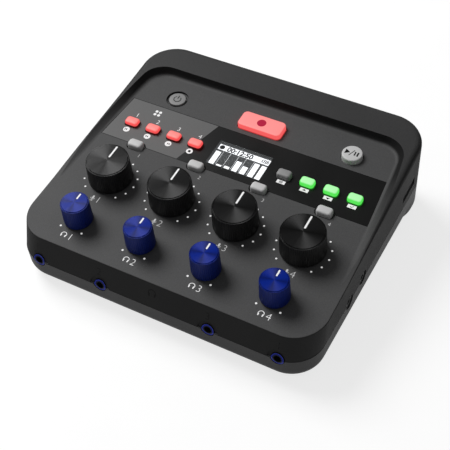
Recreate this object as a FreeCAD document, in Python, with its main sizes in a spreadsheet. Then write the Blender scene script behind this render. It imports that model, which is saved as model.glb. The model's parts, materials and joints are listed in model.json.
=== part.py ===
import FreeCAD, Part
import math
import os
import Sketcher

# Podcast recorder with four microphone channels, built as an assembly of separate pieces.
# Panel frame: x to the right, y towards the back, z square to the control panel,
# with zero on the panel's surface at the middle of the row of gain knobs.
# Base frame: the same, turned about x so that z is square to the line where the two covers part.

doc = FreeCAD.newDocument("podcast_recorder")
sheet = doc.addObject("Spreadsheet::Sheet", "dims")


class Dim:
    """A size with its number and the sheet expression that gives it."""

    def __init__(self, text, value):
        self.text = text
        self.value = value

    def __add__(self, other):
        other = dim(other)
        return Dim(f"({self.text} + {other.text})", self.value + other.value)

    def __sub__(self, other):
        other = dim(other)
        return Dim(f"({self.text} - {other.text})", self.value - other.value)

    def __mul__(self, other):
        other = dim(other)
        return Dim(f"({self.text} * {other.text})", self.value * other.value)

    def __truediv__(self, other):
        other = dim(other)
        return Dim(f"({self.text} / {other.text})", self.value / other.value)

    def __radd__(self, other):
        return dim(other) + self

    def __rsub__(self, other):
        return dim(other) - self

    def __rmul__(self, other):
        return dim(other) * self

    def __neg__(self):
        return dim(0) - self


def dim(value):
    return value if isinstance(value, Dim) else Dim(f"{value:.9g}", float(value))


def sine(angle):
    return Dim(f"sin({angle.text})", math.sin(math.radians(angle.value)))


def cosine(angle):
    return Dim(f"cos({angle.text})", math.cos(math.radians(angle.value)))


def tangent(angle):
    return Dim(f"tan({angle.text})", math.tan(math.radians(angle.value)))


sheet_row = 0


def size(alias, value, note):
    global sheet_row
    sheet_row += 1
    sheet.set(f"A{sheet_row}", note)
    sheet.set(f"B{sheet_row}", str(value))
    sheet.setAlias(f"B{sheet_row}", alias)
    return Dim(f"dims.{alias}", float(value))


# Case
panel_tilt = size("panel_tilt", 7, "panel to table, degrees")
parting_angle = size("parting_angle", 5, "parting plane to panel, degrees")
parting_depth = size("parting_depth", 17.8, "panel to parting plane under the gain knobs")
wall = size("wall", 2.2, "wall of both covers")
case_width = size("case_width", 163.4, "width of the case")
base_front = size("base_front", 53.2, "gain knobs to the front wall at the parting plane")
base_rear = size("base_rear", 98.9, "gain knobs to the rear wall at the parting plane")
panel_front = size("panel_front", 48.2, "gain knobs to the front edge of the panel")
front_corner = size("front_corner", 17, "front corners, plan radius")
rear_corner = size("rear_corner", 19, "rear corners, plan radius")
rim_start = size("rim_start", 12, "gain knobs to where the rim starts to rise, frontwards")
rim_angle = size("rim_angle", 2.65, "rise of the rim towards the back, degrees")
rim_round = size("rim_round", 3.4, "rounding of the rim's outer edge at the back")
rim_soft = size("rim_soft", 0.5, "rounding of the rim's outer edge where it starts")
floor_front = size("floor_front", 40, "gain knobs to the front end of the sunken floor")
floor_rear = size("floor_rear", 79.6, "gain knobs to the back of the sunken floor")
rim_width_front = size("rim_width_front", 1.4, "case side to the sunken floor, at its front end")
rim_width_rear = size("rim_width_rear", 8.3, "case side to the sunken floor, at its back")
lip_height = size("lip_height", 8, "height at which the floor's walls are set out")
lip_flare_front = size("lip_flare_front", 36.2, "lean of the side walls up to that height, front")
lip_flare_rear = size("lip_flare_rear", 1.9, "lean of the side walls up to that height, back")
lip_rear = size("lip_rear", 82.6, "gain knobs to the back wall at that height")
floor_corner = size("floor_corner", 15, "sunken floor's corner radius")
lip_corner = size("lip_corner", 18, "corner radius at the walls' upper end")
floor_round = size("floor_round", 3, "hollow rounding between floor and walls")
base_depth = size("base_depth", 14.1, "parting plane to the underside")
base_round = size("base_round", 6, "rounding of the underside's edge")
bulge_start = size("bulge_start", 58, "gain knobs to the front of the battery bulge")
bulge_depth = size("bulge_depth", 4.6, "battery bulge below the underside")
bulge_round = size("bulge_round", 5, "rounding of the bulge's lower edge")
groove_height = size("groove_height", 0.35, "shadow groove between the covers, height")
groove_depth = size("groove_depth", 0.5, "shadow groove between the covers, depth")

# Panel layout
channel_pitch = size("channel_pitch", 36, "channel to channel")
phones_row = size("phones_row", 30.2, "gain knobs to headphone knobs, frontwards")
mute_row = size("mute_row", 24.7, "gain knobs to mute keys, backwards")
key_row = size("key_row", 38.2, "gain knobs to pad and mode keys, backwards")
key_first = size("key_first", 25.7, "middle of the panel to the innermost key")
key_pitch = size("key_pitch", 12.85, "key to key")
top_row = size("top_row", 64.2, "gain knobs to power, record and play, backwards")
inlay_front = size("inlay_front", 25.4, "gain knobs to the inlay's front edge")
inlay_rear = size("inlay_rear", 55.4, "gain knobs to the inlay's rear edge")
inlay_side_front = size("inlay_side_front", 5.65, "case side to the inlay, at its front edge")
inlay_side_rear = size("inlay_side_rear", 8.05, "case side to the inlay, at its rear edge")
inlay_thickness = size("inlay_thickness", 0.4, "inlay sheet")
fit_gap = size("fit_gap", 0.1, "gap round pieces that are glued or pressed in")
key_gap = size("key_gap", 0.3, "gap round the keys")

# Knobs and their controls
gain_radius = size("gain_radius", 11.5, "gain knob at its foot")
gain_top_radius = size("gain_top_radius", 11.1, "gain knob below its rim")
gain_height = size("gain_height", 13.7, "gain knob's top above the panel")
gain_shaft = size("gain_shaft", 3, "gain control's shaft, radius")
phones_radius = size("phones_radius", 7.35, "headphone knob at its foot")
phones_top_radius = size("phones_top_radius", 7.1, "headphone knob below its rim")
phones_height = size("phones_height", 13.2, "headphone knob's top above the panel")
phones_shaft = size("phones_shaft", 2, "headphone control's shaft, radius")
knob_lift = size("knob_lift", 0.5, "gap between a knob and the panel")
knob_rim = size("knob_rim", 0.5, "bevel round a knob's top face")
knob_roof = size("knob_roof", 1.8, "knob's top wall")
knob_skirt = size("knob_skirt", 1.6, "knob's side wall")
knob_hub = size("knob_hub", 1.6, "wall of the hub round the shaft")
shaft_gap = size("shaft_gap", 0.05, "running clearance of a shaft, radial")
grip_gap = size("grip_gap", 0.02, "clearance between knob and shaft, radial")
bush_wall = size("bush_wall", 0.9, "wall of the bush round a shaft")
bush_rise = size("bush_rise", 1.2, "bush above the panel")
control_floor = size("control_floor", 1.5, "rotary control's floor under its shaft")
tip_gap = size("tip_gap", 0.3, "gap over a shaft's tip inside the knob")
control_body = size("control_body", 10, "rotary control's body, square")

# Boards
board_drop = size("board_drop", 8.4, "panel to the main board's upper face")
board_thickness = size("board_thickness", 1.6, "all boards")
board_edge = size("board_edge", 1.6, "gap between the main board and the walls")
board_front = size("board_front", 46, "gain knobs to the main board's front edge")
link_width = size("link_width", 8, "connector to the side board, left to right")
link_length = size("link_length", 20, "connector to the side board, front to back")
rear_link_half = size("rear_link_half", 20, "connector to the rear board, half width")
rear_link_depth = size("rear_link_depth", 6, "connector to the rear board, front to back")
rear_link_height = size("rear_link_height", 2.6, "connector to the rear board, height")
board_rear = size("board_rear", 70.4, "gain knobs to the main board's rear edge")
board_screw_front = size("board_screw_front", 15.5, "gain knobs to the front board screws, frontwards")
board_screw_rear = size("board_screw_rear", 51.5, "gain knobs to the rear board screws, backwards")
board_screw_side = size("board_screw_side", 11.2, "case side to the rear board screws")
board_boss = size("board_boss", 2.6, "board boss, radius")
board_screw = size("board_screw", 1, "board screw's shank, radius")
board_screw_reach = size("board_screw_reach", 5, "board screw above the main board")
board_screw_head = size("board_screw_head", 1.9, "board screw's head, radius")
board_screw_head_height = size("board_screw_head_height", 1.2, "board screw's head, height")
board_gap = size("board_gap", 0.6, "gap between the boards and the case screws' bosses")
board_corner = size("board_corner", 12, "main board's front corners")
screw_gap = size("screw_gap", 0.06, "gap round a screw's shank")

# Keys and switches
key_width = size("key_width", 7.8, "small key, left to right")
key_depth = size("key_depth", 5.4, "small key, front to back")
key_corner = size("key_corner", 1.7, "small key's corners")
key_height = size("key_height", 2.8, "small key above the panel")
key_edge = size("key_edge", 0.7, "small key's upper edge rounding")
key_travel = size("key_travel", 0.7, "how far a key goes down")
flange_reach = size("flange_reach", 1, "flange under the panel, beyond the key")
flange_thickness = size("flange_thickness", 0.8, "flange under the panel")
flange_gap = size("flange_gap", 0.15, "flange to the panel's underside")
record_width = size("record_width", 25, "record key, left to right")
record_depth = size("record_depth", 11, "record key, front to back")
record_corner = size("record_corner", 2.6, "record key's corners")
record_height = size("record_height", 3, "record key above the panel")
play_radius = size("play_radius", 5.5, "play key")
play_height = size("play_height", 3, "play key above the panel")
power_radius = size("power_radius", 4.8, "power key")
power_height = size("power_height", 0.2, "power key above the panel")
power_well = size("power_well", 6.1, "dished ring round the power key, radius")
power_sink = size("power_sink", 1.1, "depth of that ring")
mute_width = size("mute_width", 8.4, "mute key, left to right")
mute_slot_width = size("mute_slot_width", 10.6, "shallow slot round a mute key, left to right")
mute_slot_depth = size("mute_slot_depth", 6.6, "shallow slot round a mute key, front to back")
switch_side = size("switch_side", 6, "push switch's body, square")
switch_body = size("switch_body", 3.2, "push switch's body, height")
plunger_radius = size("plunger_radius", 1.6, "push switch's plunger")
press_rest = size("press_rest", 0.2, "gap left above the plunger when a key is down")

# Display
window_width = size("window_width", 30.8, "display window")
window_depth = size("window_depth", 17.1, "display window, front to back")
window_middle = size("window_middle", 38.25, "gain knobs to the window's middle, backwards")
lens_thickness = size("lens_thickness", 1.5, "display lens")
module_width = size("module_width", 34.4, "display module")
module_depth = size("module_depth", 21.6, "display module, front to back")
module_middle = size("module_middle", 39.8, "gain knobs to the module's middle, backwards")
module_thickness = size("module_thickness", 2.4, "display module")
ribbon_width = size("ribbon_width", 14, "display ribbon")
ribbon_thickness = size("ribbon_thickness", 0.3, "display ribbon")

# Sockets
jack_inner = size("jack_inner", 29.8, "middle to the inner front jacks")
jack_corner = size("jack_corner", 15.9, "case side to the outer front jacks")
jack_bore = size("jack_bore", 1.8, "bore for a 3.5 mm plug, radius")
jack_bore_depth = size("jack_bore_depth", 14, "bore for a 3.5 mm plug, depth")
jack_nose = size("jack_nose", 3.5, "ring at a jack's mouth, radius")
jack_width = size("jack_width", 7, "jack's body, width")
jack_length = size("jack_length", 13, "jack's body, length")
nose_sink = size("nose_sink", 0.2, "a socket's face behind the wall's outer face")
nose_root = size("nose_root", 0.4, "gap between a socket's body and the wall")
jack_setback = size("jack_setback", 1.1, "gap between a front jack's body and the sloping wall")
jack_scoop = size("jack_scoop", 5.4, "recess round a front jack, radius")
jack_scoop_sink = size("jack_scoop_sink", 0.5, "recess round a jack, depth")
side_jack_rear = size("side_jack_rear", 8.8, "gain knobs to the rear side jack, backwards")
side_jack_pitch = size("side_jack_pitch", 16, "side jack to side jack")
side_jack_height = size("side_jack_height", 6, "side jack's body, height")
side_nose = size("side_nose", 3, "ring at a side jack's mouth, radius")
side_scoop = size("side_scoop", 3.9, "recess round a side jack, radius")
side_board_edge = size("side_board_edge", 1.3, "gap between the side board and the wall")
side_board_width = size("side_board_width", 11.7, "side board, left to right")
side_board_front = size("side_board_front", 13.5, "gain knobs to the side board's front edge")
side_board_drop = size("side_board_drop", 14.4, "panel to the side board's underside")
card_middle = size("card_middle", 68.5, "gain knobs to the card slot, backwards")
card_width = size("card_width", 12.4, "card slot, front to back")
card_slot_height = size("card_slot_height", 1.7, "card slot's height")
card_body = size("card_body", 3.2, "card socket's height")
card_scoop_sink = size("card_scoop_sink", 0.8, "recess round the card slot, depth")
card_scoop_rim = size("card_scoop_rim", 1.8, "recess round the card slot, beyond the slot")
usb_middle = size("usb_middle", 58, "gain knobs to the power socket, backwards")
usb_width = size("usb_width", 9, "power socket, front to back")
usb_height = size("usb_height", 3.3, "power socket's height")
usb_metal = size("usb_metal", 0.5, "power socket's wall")
usb_tongue = size("usb_tongue", 0.7, "power socket's tongue, thickness")
usb_length = size("usb_length", 8, "power socket's length")
mic_side = size("mic_side", 27.7, "case side to the outer microphone sockets")
mic_drop = size("mic_drop", 13, "panel to the microphone sockets' axis")
mic_radius = size("mic_radius", 11.4, "microphone socket's face, radius")
mic_flange = size("mic_flange", 12.1, "microphone socket's flange, radius")
mic_flange_thickness = size("mic_flange_thickness", 2, "microphone socket's flange")
mic_throat = size("mic_throat", 9.6, "ring gap for the plug's shell, outer radius")
mic_barrel_wall = size("mic_barrel_wall", 0.8, "wall round that ring gap behind the flange")
mic_core = size("mic_core", 7.5, "ring gap for the plug's shell, inner radius")
mic_throat_depth = size("mic_throat_depth", 14, "ring gap for the plug's shell, depth")
mic_pin_hole = size("mic_pin_hole", 1.35, "hole for a plug's pin, radius")
mic_pin_circle = size("mic_pin_circle", 3.9, "circle of the plug's pins, radius")
mic_back = size("mic_back", 76.3, "gain knobs to the sockets' back face")
rear_board_side = size("rear_board_side", 16.7, "case side to the rear board")
rear_board_top = size("rear_board_top", 4, "panel to the rear board's upper edge")
rear_board_bottom = size("rear_board_bottom", 22.8, "panel to the rear board's lower edge")

# Battery bay
cell_radius = size("cell_radius", 7.1, "battery cell")
cell_nub = size("cell_nub", 2.7, "battery cell's raised end, radius")
cell_nub_height = size("cell_nub_height", 1, "battery cell's raised end, height")
cell_pitch = size("cell_pitch", 15.5, "row of cells to row of cells")
bay_half = size("bay_half", 51.5, "bay's half width")
bay_wall = size("bay_wall", 1.6, "bay's side walls")
bay_top = size("bay_top", 2, "parting plane to the bay's ceiling")
bay_front = size("bay_front", 61.5, "gain knobs to the bay's front wall")
bay_rear = size("bay_rear", 92.5, "gain knobs to the bay's rear wall")
bay_roof = size("bay_roof", 1.6, "bay's roof")
door_thickness = size("door_thickness", 2, "battery door")
door_tongue = size("door_tongue", 1.6, "tongue that guides the door, reach")
door_tongue_thickness = size("door_tongue_thickness", 0.8, "that tongue, thickness")
door_gap = size("door_gap", 0.3, "gap round the door")
door_slide_gap = size("door_slide_gap", 0.15, "gap over and under what slides")
door_grip_width = size("door_grip_width", 22, "finger grooves on the door, left to right")
door_grip_pitch = size("door_grip_pitch", 2.2, "finger groove to finger groove")
door_grip_depth = size("door_grip_depth", 0.5, "finger grooves, depth")
contact_thickness = size("contact_thickness", 0.4, "battery contact plate")
contact_height = size("contact_height", 10, "battery contact plate, height and width")
contact_bump = size("contact_bump", 2.5, "battery contact's raised middle, radius")
contact_reach = size("contact_reach", 0.8, "battery contact's raised middle, reach")

# Feet and case screws
foot_radius = size("foot_radius", 6, "rubber foot")
foot_seat = size("foot_seat", 0.6, "recess for a foot")
foot_front = size("foot_front", 38, "gain knobs to the front feet, frontwards")
foot_front_side = size("foot_front_side", 17.7, "case side to the front feet")
foot_rear = size("foot_rear", 72, "gain knobs to the rear feet, backwards")
foot_rear_side = size("foot_rear_side", 13.7, "case side to the rear feet")
foot_front_height = size("foot_front_height", 2.6, "front foot below the underside")
case_boss = size("case_boss", 3.4, "case screw's boss, radius")
case_screw = size("case_screw", 1.3, "case screw's shank, radius")
case_screw_head = size("case_screw_head", 2.3, "case screw's head, radius")
case_screw_head_height = size("case_screw_head_height", 1.6, "case screw's head, height")
post_wall = size("post_wall", 1.4, "wall of the post round a screw's well")
case_screw_well = size("case_screw_well", 2.5, "well for a case screw's head, radius")
case_screw_reach = size("case_screw_reach", 8, "case screw above the parting plane")
case_screw_seat = size("case_screw_seat", 3, "material under a case screw's head")
screw_front = size("screw_front", 40.5, "gain knobs to the front case screws, frontwards")
screw_front_side = size("screw_front_side", 47.8, "middle to the front case screws")
screw_middle = size("screw_middle", 54, "gain knobs to the middle case screws, backwards")
screw_middle_side = size("screw_middle_side", 36, "middle to the middle case screws")
screw_rear = size("screw_rear", 84, "gain knobs to the rear case screws, backwards")
screw_rear_side = size("screw_rear_side", 8.7, "case side to the rear case screws")

ZERO = dim(0)
PANEL = "panel"
BASE = "base"
channels = [channel_pitch * k for k in (-1.5, -0.5, 0.5, 1.5)]
reach = 400  # longer than anything on the object, for cuts that go right through


def panel_z(base_y):
    """Height, in the panel frame, of the parting plane's point at y in the base frame."""
    return -parting_depth - base_y * sine(parting_angle)


def parting_z(y):
    """Height of the parting plane at y in the panel frame."""
    return -parting_depth - y * tangent(parting_angle)


def under_z(y, depth):
    """Height of a plane that lies depth under the parting plane."""
    return parting_z(y) - dim(depth) / cosine(parting_angle)


def along_table(y, z):
    """A point of the panel frame as a distance along the table, from the gain knobs."""
    return y * cosine(panel_tilt) - z * sine(panel_tilt)


# Walls and front jacks in the panel frame
front_y = -base_front * cosine(parting_angle)
rear_y = base_rear * cosine(parting_angle)
half_width = case_width / 2
floor_half_front = half_width - rim_width_front
floor_half_rear = half_width - rim_width_rear
lip_half_front = floor_half_front + lip_flare_front
lip_half_rear = floor_half_rear + lip_flare_rear
full_depth = base_depth + bulge_depth
jack_z = panel_z(-base_front)

# The origin lies midway between the front wall's lower edge and the round of the bulge's rear edge.
round_y = rear_y - bulge_round
round_z = under_z(round_y, full_depth) + bulge_round / cosine(parting_angle)
furthest_front = along_table(front_y, jack_z)
furthest_back = along_table(round_y, round_z) + bulge_round
origin_back = (furthest_front + furthest_back) / 2

# The table is the plane that the front feet's soles lie in, tilted from the panel.
sole_y = -foot_front * cosine(parting_angle) - (base_depth + foot_front_height) * sine(parting_angle)
sole_z = (
    foot_front * sine(parting_angle)
    - parting_depth
    - (base_depth + foot_front_height) * cosine(parting_angle)
)
lift = -(sole_y * sine(panel_tilt) + sole_z * cosine(panel_tilt))


def bind(thing, prop, value):
    value = dim(value)
    thing.setExpression(prop, value.text)


def put(thing, x, y, z, frame=None):
    """Places a piece: at x, y, z as it is, or at those places of the panel or base frame."""
    x, y, z = dim(x), dim(y), dim(z)
    if frame is None:
        where, angle = (x, y, z), None
    else:
        if frame == BASE:
            c, s = cosine(parting_angle), sine(parting_angle)
            y, z = y * c + z * s, z * c - y * s - parting_depth
        c, s = cosine(panel_tilt), sine(panel_tilt)
        where = (x, y * c - z * s - origin_back, y * s + z * c + lift)
        angle = panel_tilt - parting_angle if frame == BASE else panel_tilt
    turn = 0 if angle is None else angle.value
    thing.Placement = FreeCAD.Placement(
        FreeCAD.Vector(*[w.value for w in where]),
        FreeCAD.Rotation(FreeCAD.Vector(1, 0, 0), turn),
    )
    for axis, w in zip("xyz", where):
        bind(thing, f".Placement.Base.{axis}", w)
    if angle is not None:
        bind(thing, ".Placement.Rotation.Angle", angle)


def in_base(thing, x, y, z):
    """Places a helper solid of the panel frame at a place given in the base frame."""
    x, y, z = dim(x), dim(y), dim(z)
    c, s = cosine(parting_angle), sine(parting_angle)
    where = (x, y * c + z * s, z * c - y * s - parting_depth)
    thing.Placement = FreeCAD.Placement(
        FreeCAD.Vector(*[w.value for w in where]),
        FreeCAD.Rotation(FreeCAD.Vector(1, 0, 0), -parting_angle.value),
    )
    for axis, w in zip("xyz", where):
        bind(thing, f".Placement.Base.{axis}", w)
    bind(thing, ".Placement.Rotation.Angle", -parting_angle)


counter = {}


def fresh(kind):
    counter[kind] = counter.get(kind, 0) + 1
    return f"{kind}_{counter[kind]}"


def block(x0, x1, y0, y1, z0, z1):
    thing = doc.addObject("Part::Box", fresh("block"))
    bind(thing, "Length", dim(x1) - x0)
    bind(thing, "Width", dim(y1) - y0)
    bind(thing, "Height", dim(z1) - z0)
    put(thing, x0, y0, z0)
    return thing


def rod(radius, length, x, y, z, along="z"):
    thing = doc.addObject("Part::Cylinder", fresh("rod"))
    bind(thing, "Radius", radius)
    bind(thing, "Height", length)
    put(thing, x, y, z)
    turns = {"y": (1, 0, -90), "-y": (1, 0, 90), "x": (0, 1, 90), "-x": (0, 1, -90)}
    if along in turns:
        across, back, turn = turns[along]
        thing.Placement.Rotation = FreeCAD.Rotation(FreeCAD.Vector(across, back, 0), turn)
    return thing


def fuse(things, label=None):
    if len(things) == 1:
        return things[0]
    thing = doc.addObject("Part::MultiFuse", label or fresh("fuse"))
    thing.Shapes = things
    return thing


def cut(base, tools, label=None):
    thing = doc.addObject("Part::Cut", label or fresh("cut"))
    thing.Base = base
    thing.Tool = fuse(tools) if isinstance(tools, list) else tools
    return thing


def common(base, tool, label=None):
    thing = doc.addObject("Part::Common", label or fresh("common"))
    thing.Base = base
    thing.Tool = tool
    return thing


def group(things, label):
    thing = doc.addObject("Part::Compound", label)
    thing.Links = things
    return thing


def rounded(base, picks, label=None):
    """Fillets the edges that each pick's test accepts, with its two end radii."""
    doc.recompute()
    edges = []
    for number, edge in enumerate(base.Shape.Edges, 1):
        middle = edge.valueAt((edge.FirstParameter + edge.LastParameter) / 2)
        for test, radius_1, radius_2 in picks:
            if test(edge, middle):
                edges.append((number, dim(radius_1).value, dim(radius_2).value))
                break
    thing = doc.addObject("Part::Fillet", label or fresh("rounded"))
    thing.Base = base
    thing.Edges = edges
    return thing


def outline(owner, name, points, plane="XY"):
    """A closed sketch whose corners are given as (across, up) sizes."""
    if owner is None:
        sketch = doc.addObject("Sketcher::SketchObject", fresh(name))
    else:
        sketch = owner.newObject("Sketcher::SketchObject", fresh(name))
        role = plane + "_Plane"
        sketch.AttachmentSupport = [(f, "") for f in owner.Origin.OriginFeatures if f.Role == role]
        sketch.MapMode = "FlatFace"
    points = [(dim(a), dim(b)) for a, b in points]
    spots = [FreeCAD.Vector(a.value, b.value, 0) for a, b in points]
    for k, spot in enumerate(spots):
        sketch.addGeometry(Part.LineSegment(spot, spots[(k + 1) % len(spots)]), False)
    for k, (a, b) in enumerate(points):
        sketch.addConstraint(Sketcher.Constraint("Coincident", k, 2, (k + 1) % len(points), 1))
        for kind, value, axis in (("DistanceX", a, -2), ("DistanceY", b, -1)):
            if value.text == "0":
                sketch.addConstraint(Sketcher.Constraint("PointOnObject", k, 1, axis))
            else:
                number = sketch.addConstraint(Sketcher.Constraint(kind, -1, 1, k, 1, value.value))
                sketch.setExpression(f"Constraints[{number}]", value.text)
    return sketch


def rectangle(x0, x1, y0, y1):
    return [(x0, y0), (x1, y0), (x1, y1), (x0, y1)]


def disc(owner, name, radius, x=0, y=0, plane="XY"):
    sketch = owner.newObject("Sketcher::SketchObject", fresh(name))
    role = plane + "_Plane"
    sketch.AttachmentSupport = [(f, "") for f in owner.Origin.OriginFeatures if f.Role == role]
    sketch.MapMode = "FlatFace"
    radius, x, y = dim(radius), dim(x), dim(y)
    centre = FreeCAD.Vector(x.value, y.value, 0)
    sketch.addGeometry(Part.Circle(centre, FreeCAD.Vector(0, 0, 1), radius.value), False)
    number = sketch.addConstraint(Sketcher.Constraint("Radius", 0, radius.value))
    sketch.setExpression(f"Constraints[{number}]", radius.text)
    for kind, value, axis in (("DistanceX", x, -2), ("DistanceY", y, -1)):
        if value.text == "0":
            sketch.addConstraint(Sketcher.Constraint("PointOnObject", 0, 3, axis))
        else:
            number = sketch.addConstraint(Sketcher.Constraint(kind, -1, 1, 0, 3, value.value))
            sketch.setExpression(f"Constraints[{number}]", value.text)
    return sketch


def body(label):
    return doc.addObject("PartDesign::Body", label)


def raise_sketch(sketch, height):
    bind(sketch, ".AttachmentOffset.Base.z", height)


def pad(owner, sketch, length, down=False):
    feature = owner.newObject("PartDesign::Pad", fresh("pad"))
    feature.Profile = sketch
    bind(feature, "Length", length)
    feature.Reversed = down
    return feature


def turned(owner, name, points):
    """Turns an outline given as (radius, height) about the piece's own z."""
    sketch = outline(owner, name, points, "XZ")
    feature = owner.newObject("PartDesign::Revolution", fresh("turned"))
    feature.Profile = sketch
    feature.ReferenceAxis = (sketch, ["V_Axis"])
    feature.Angle = 360
    return feature


def soften(owner, feature, test, radius, kind="Fillet"):
    doc.recompute()
    names = []
    for number, edge in enumerate(feature.Shape.Edges, 1):
        middle = edge.valueAt((edge.FirstParameter + edge.LastParameter) / 2)
        if test(edge, middle):
            names.append(f"Edge{number}")
    soft = owner.newObject("PartDesign::" + kind, fresh("soft"))
    soft.Base = (feature, names)
    bind(soft, "Radius" if kind == "Fillet" else "Size", radius)
    return soft


def upright(edge, middle):
    ends = [v.Point for v in edge.Vertexes]
    if len(ends) < 2:
        return False
    run = ends[-1] - ends[0]
    return abs(run.z) > 2 * math.hypot(run.x, run.y) and edge.Curve.TypeId == "Part::GeomLine"


def near(value, other, slack=0.01):
    return abs(value - dim(other).value) < slack


def profile(name, points, half, left_only=False):
    """A solid whose side view is given as (y, z) sizes, reaching half as far to each side."""
    sketch = outline(None, name, points)
    sketch.Placement = FreeCAD.Placement(FreeCAD.Vector(), FreeCAD.Rotation(FreeCAD.Vector(1, 1, 1), 120))
    solid = doc.addObject("Part::Extrusion", fresh("profile"))
    solid.Base = sketch
    solid.DirMode = "Custom"
    solid.Dir = FreeCAD.Vector(-1, 0, 0)
    bind(solid, "LengthFwd", half if left_only else 2 * dim(half))
    solid.Symmetric = not left_only
    solid.Solid = True
    return solid


def front_edge(edge, middle):
    return upright(edge, middle) and middle.y < 0 and abs(middle.x) > 1


def rear_edge(edge, middle):
    return upright(edge, middle) and middle.y > rear_y.value / 2 and abs(middle.x) > 1


# Outer form of the top cover: flat over the knobs, then climbing as the rim
rise = tangent(rim_angle)


def rim_z(y):
    """Height of the rim's top at a distance from the gain knobs."""
    return (y + rim_start) * rise


top_block = profile(
    "top_side_view",
    [
        (front_y, panel_z(-base_front)),
        (-panel_front, 0),
        (-rim_start, 0),
        (rear_y, rim_z(rear_y)),
        (rear_y, panel_z(base_rear)),
    ],
    half_width,
    left_only=True,
)
corners = [(front_edge, front_corner, front_corner), (rear_edge, rear_corner, rear_corner)]
topped = rounded(top_block, corners, "case_topped")


def rim_side(edge, middle):
    """The rim's outer edge on the side, from where it starts to the rear corner."""
    on_top = near(middle.z, (middle.y + rim_start.value) * rise.value) and middle.y > -rim_start.value
    return on_top and edge.BoundBox.YLength > 40 and abs(middle.x) > half_width.value - 1


rimmed_left = rounded(topped, [(rim_side, rim_soft, rim_round)], "case_left")
rimmed_right = doc.addObject("Part::Mirroring", "case_right")
rimmed_right.Source = rimmed_left
rimmed_right.Normal = FreeCAD.Vector(1, 0, 0)
rimmed = fuse([rimmed_left, rimmed_right], "case_rimmed")

# The sunken floor of the panel, with walls that fade out towards the front
floor_sketch = outline(
    None,
    "floor_outline",
    [
        (-floor_half_front, -floor_front),
        (floor_half_front, -floor_front),
        (floor_half_rear, floor_rear),
        (-floor_half_rear, floor_rear),
    ],
)
lip_sketch = outline(
    None,
    "lip_outline",
    [
        (-lip_half_front, -floor_front),
        (lip_half_front, -floor_front),
        (lip_half_rear, lip_rear),
        (-lip_half_rear, lip_rear),
    ],
)
put(lip_sketch, 0, 0, lip_height)
sink = doc.addObject("Part::Loft", "sink_loft")
sink.Sections = [floor_sketch, lip_sketch]
sink.Solid = True
sink.Ruled = True


def sink_corner(edge, middle):
    return middle.y > floor_rear.value / 2 and 0.1 < middle.z < lip_height.value - 0.1


def sink_foot(edge, middle):
    return abs(middle.z) < 0.01 and middle.y > -floor_front.value + 1


sink_corners = rounded(sink, [(sink_corner, floor_corner, lip_corner)], "sink_corners")
sink_tool = rounded(sink_corners, [(sink_foot, floor_round, floor_round)], "sink_tool")


def prism(name, points, bottom, top):
    """A straight-sided solid over an outline, between two heights."""
    sketch = outline(None, name, points)
    put(sketch, 0, 0, bottom)
    solid = doc.addObject("Part::Extrusion", fresh("prism"))
    solid.Base = sketch
    solid.DirMode = "Custom"
    solid.Dir = FreeCAD.Vector(0, 0, 1)
    bind(solid, "LengthFwd", dim(top) - bottom)
    solid.Solid = True
    return solid


def tablet(width, depth, corner, x, y, bottom, top):
    """A block with rounded upright edges, round the point x, y."""
    width, depth = dim(width), dim(depth)
    solid = block(x - width / 2, x + width / 2, y - depth / 2, y + depth / 2, bottom, top)
    return rounded(solid, [(upright, corner, corner)])


# Where each key sits: its size in plan, corner radius (none when round), and place
small_key = (key_width, key_depth, key_corner)
keys = {
    "record_button": ((record_width, record_depth, record_corner), ZERO, top_row),
    "play_button": ((play_radius * 2, None, None), key_first + key_pitch * 2, top_row),
    "power_button": ((power_radius * 2, None, None), -key_first - key_pitch * 2, top_row),
    "menu_button": (small_key, key_first, key_row),
}
for k in range(3):
    keys[f"mode_button_{k + 1}"] = (small_key, key_first + key_pitch * (k + 1), key_row)
for k in range(4):
    keys[f"sound_pad_{k + 1}"] = (small_key, key_pitch * (k - 3) - key_first, key_row)
    keys[f"mute_button_{k + 1}"] = ((mute_width, key_depth, key_corner), channels[k], mute_row)
key_heights = {name: key_height for name in keys}
key_heights["record_button"] = record_height
key_heights["play_button"] = play_height
key_heights["power_button"] = power_height


def key_solid(plan, x, y, bottom, top, reach_out=ZERO):
    """A key's own outline as a solid, grown by reach_out all round."""
    width, depth, corner = plan
    if depth is None:
        return rod(width / 2 + reach_out, dim(top) - bottom, x, y, bottom)
    grown = reach_out * 2
    return tablet(width + grown, depth + grown, corner + reach_out, x, y, bottom, top)


key_holes = [key_solid(plan, x, y, -wall * 2, wall, key_gap) for plan, x, y in keys.values()]
overlay_keys = [name for name in keys if "pad" in name or "mode" in name or "menu" in name]


def inlay_outline(grown):
    """The inlay's four corners, grown sideways and along by a gap."""
    front, rear = half_width - inlay_side_front + grown, half_width - inlay_side_rear + grown
    return [
        (-front, inlay_front - grown),
        (front, inlay_front - grown),
        (rear, inlay_rear + grown),
        (-rear, inlay_rear + grown),
    ]


window = block(
    -window_width / 2, window_width / 2,
    window_middle - window_depth / 2, window_middle + window_depth / 2, -wall * 2, wall,
)
lean = (-panel_front - front_y) / (-panel_z(-base_front))
spill = 2  # how far a cut reaches past what it cuts
cavity = rounded(
    profile(
        "cavity_side_view",
        [
            (front_y + wall - lean * spill, panel_z(-base_front) - spill),
            (-panel_front + wall - lean * wall, -wall),
            (floor_rear + wall, -wall),
            (lip_rear + wall, rim_z(lip_rear + wall) - wall),
            (rear_y - wall, rim_z(rear_y - wall) - wall),
            (rear_y - wall, panel_z(base_rear) - spill),
        ],
        half_width - wall,
    ),
    [
        (front_edge, front_corner - wall, front_corner - wall),
        (rear_edge, rear_corner - wall, rear_corner - wall),
    ],
)

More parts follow.
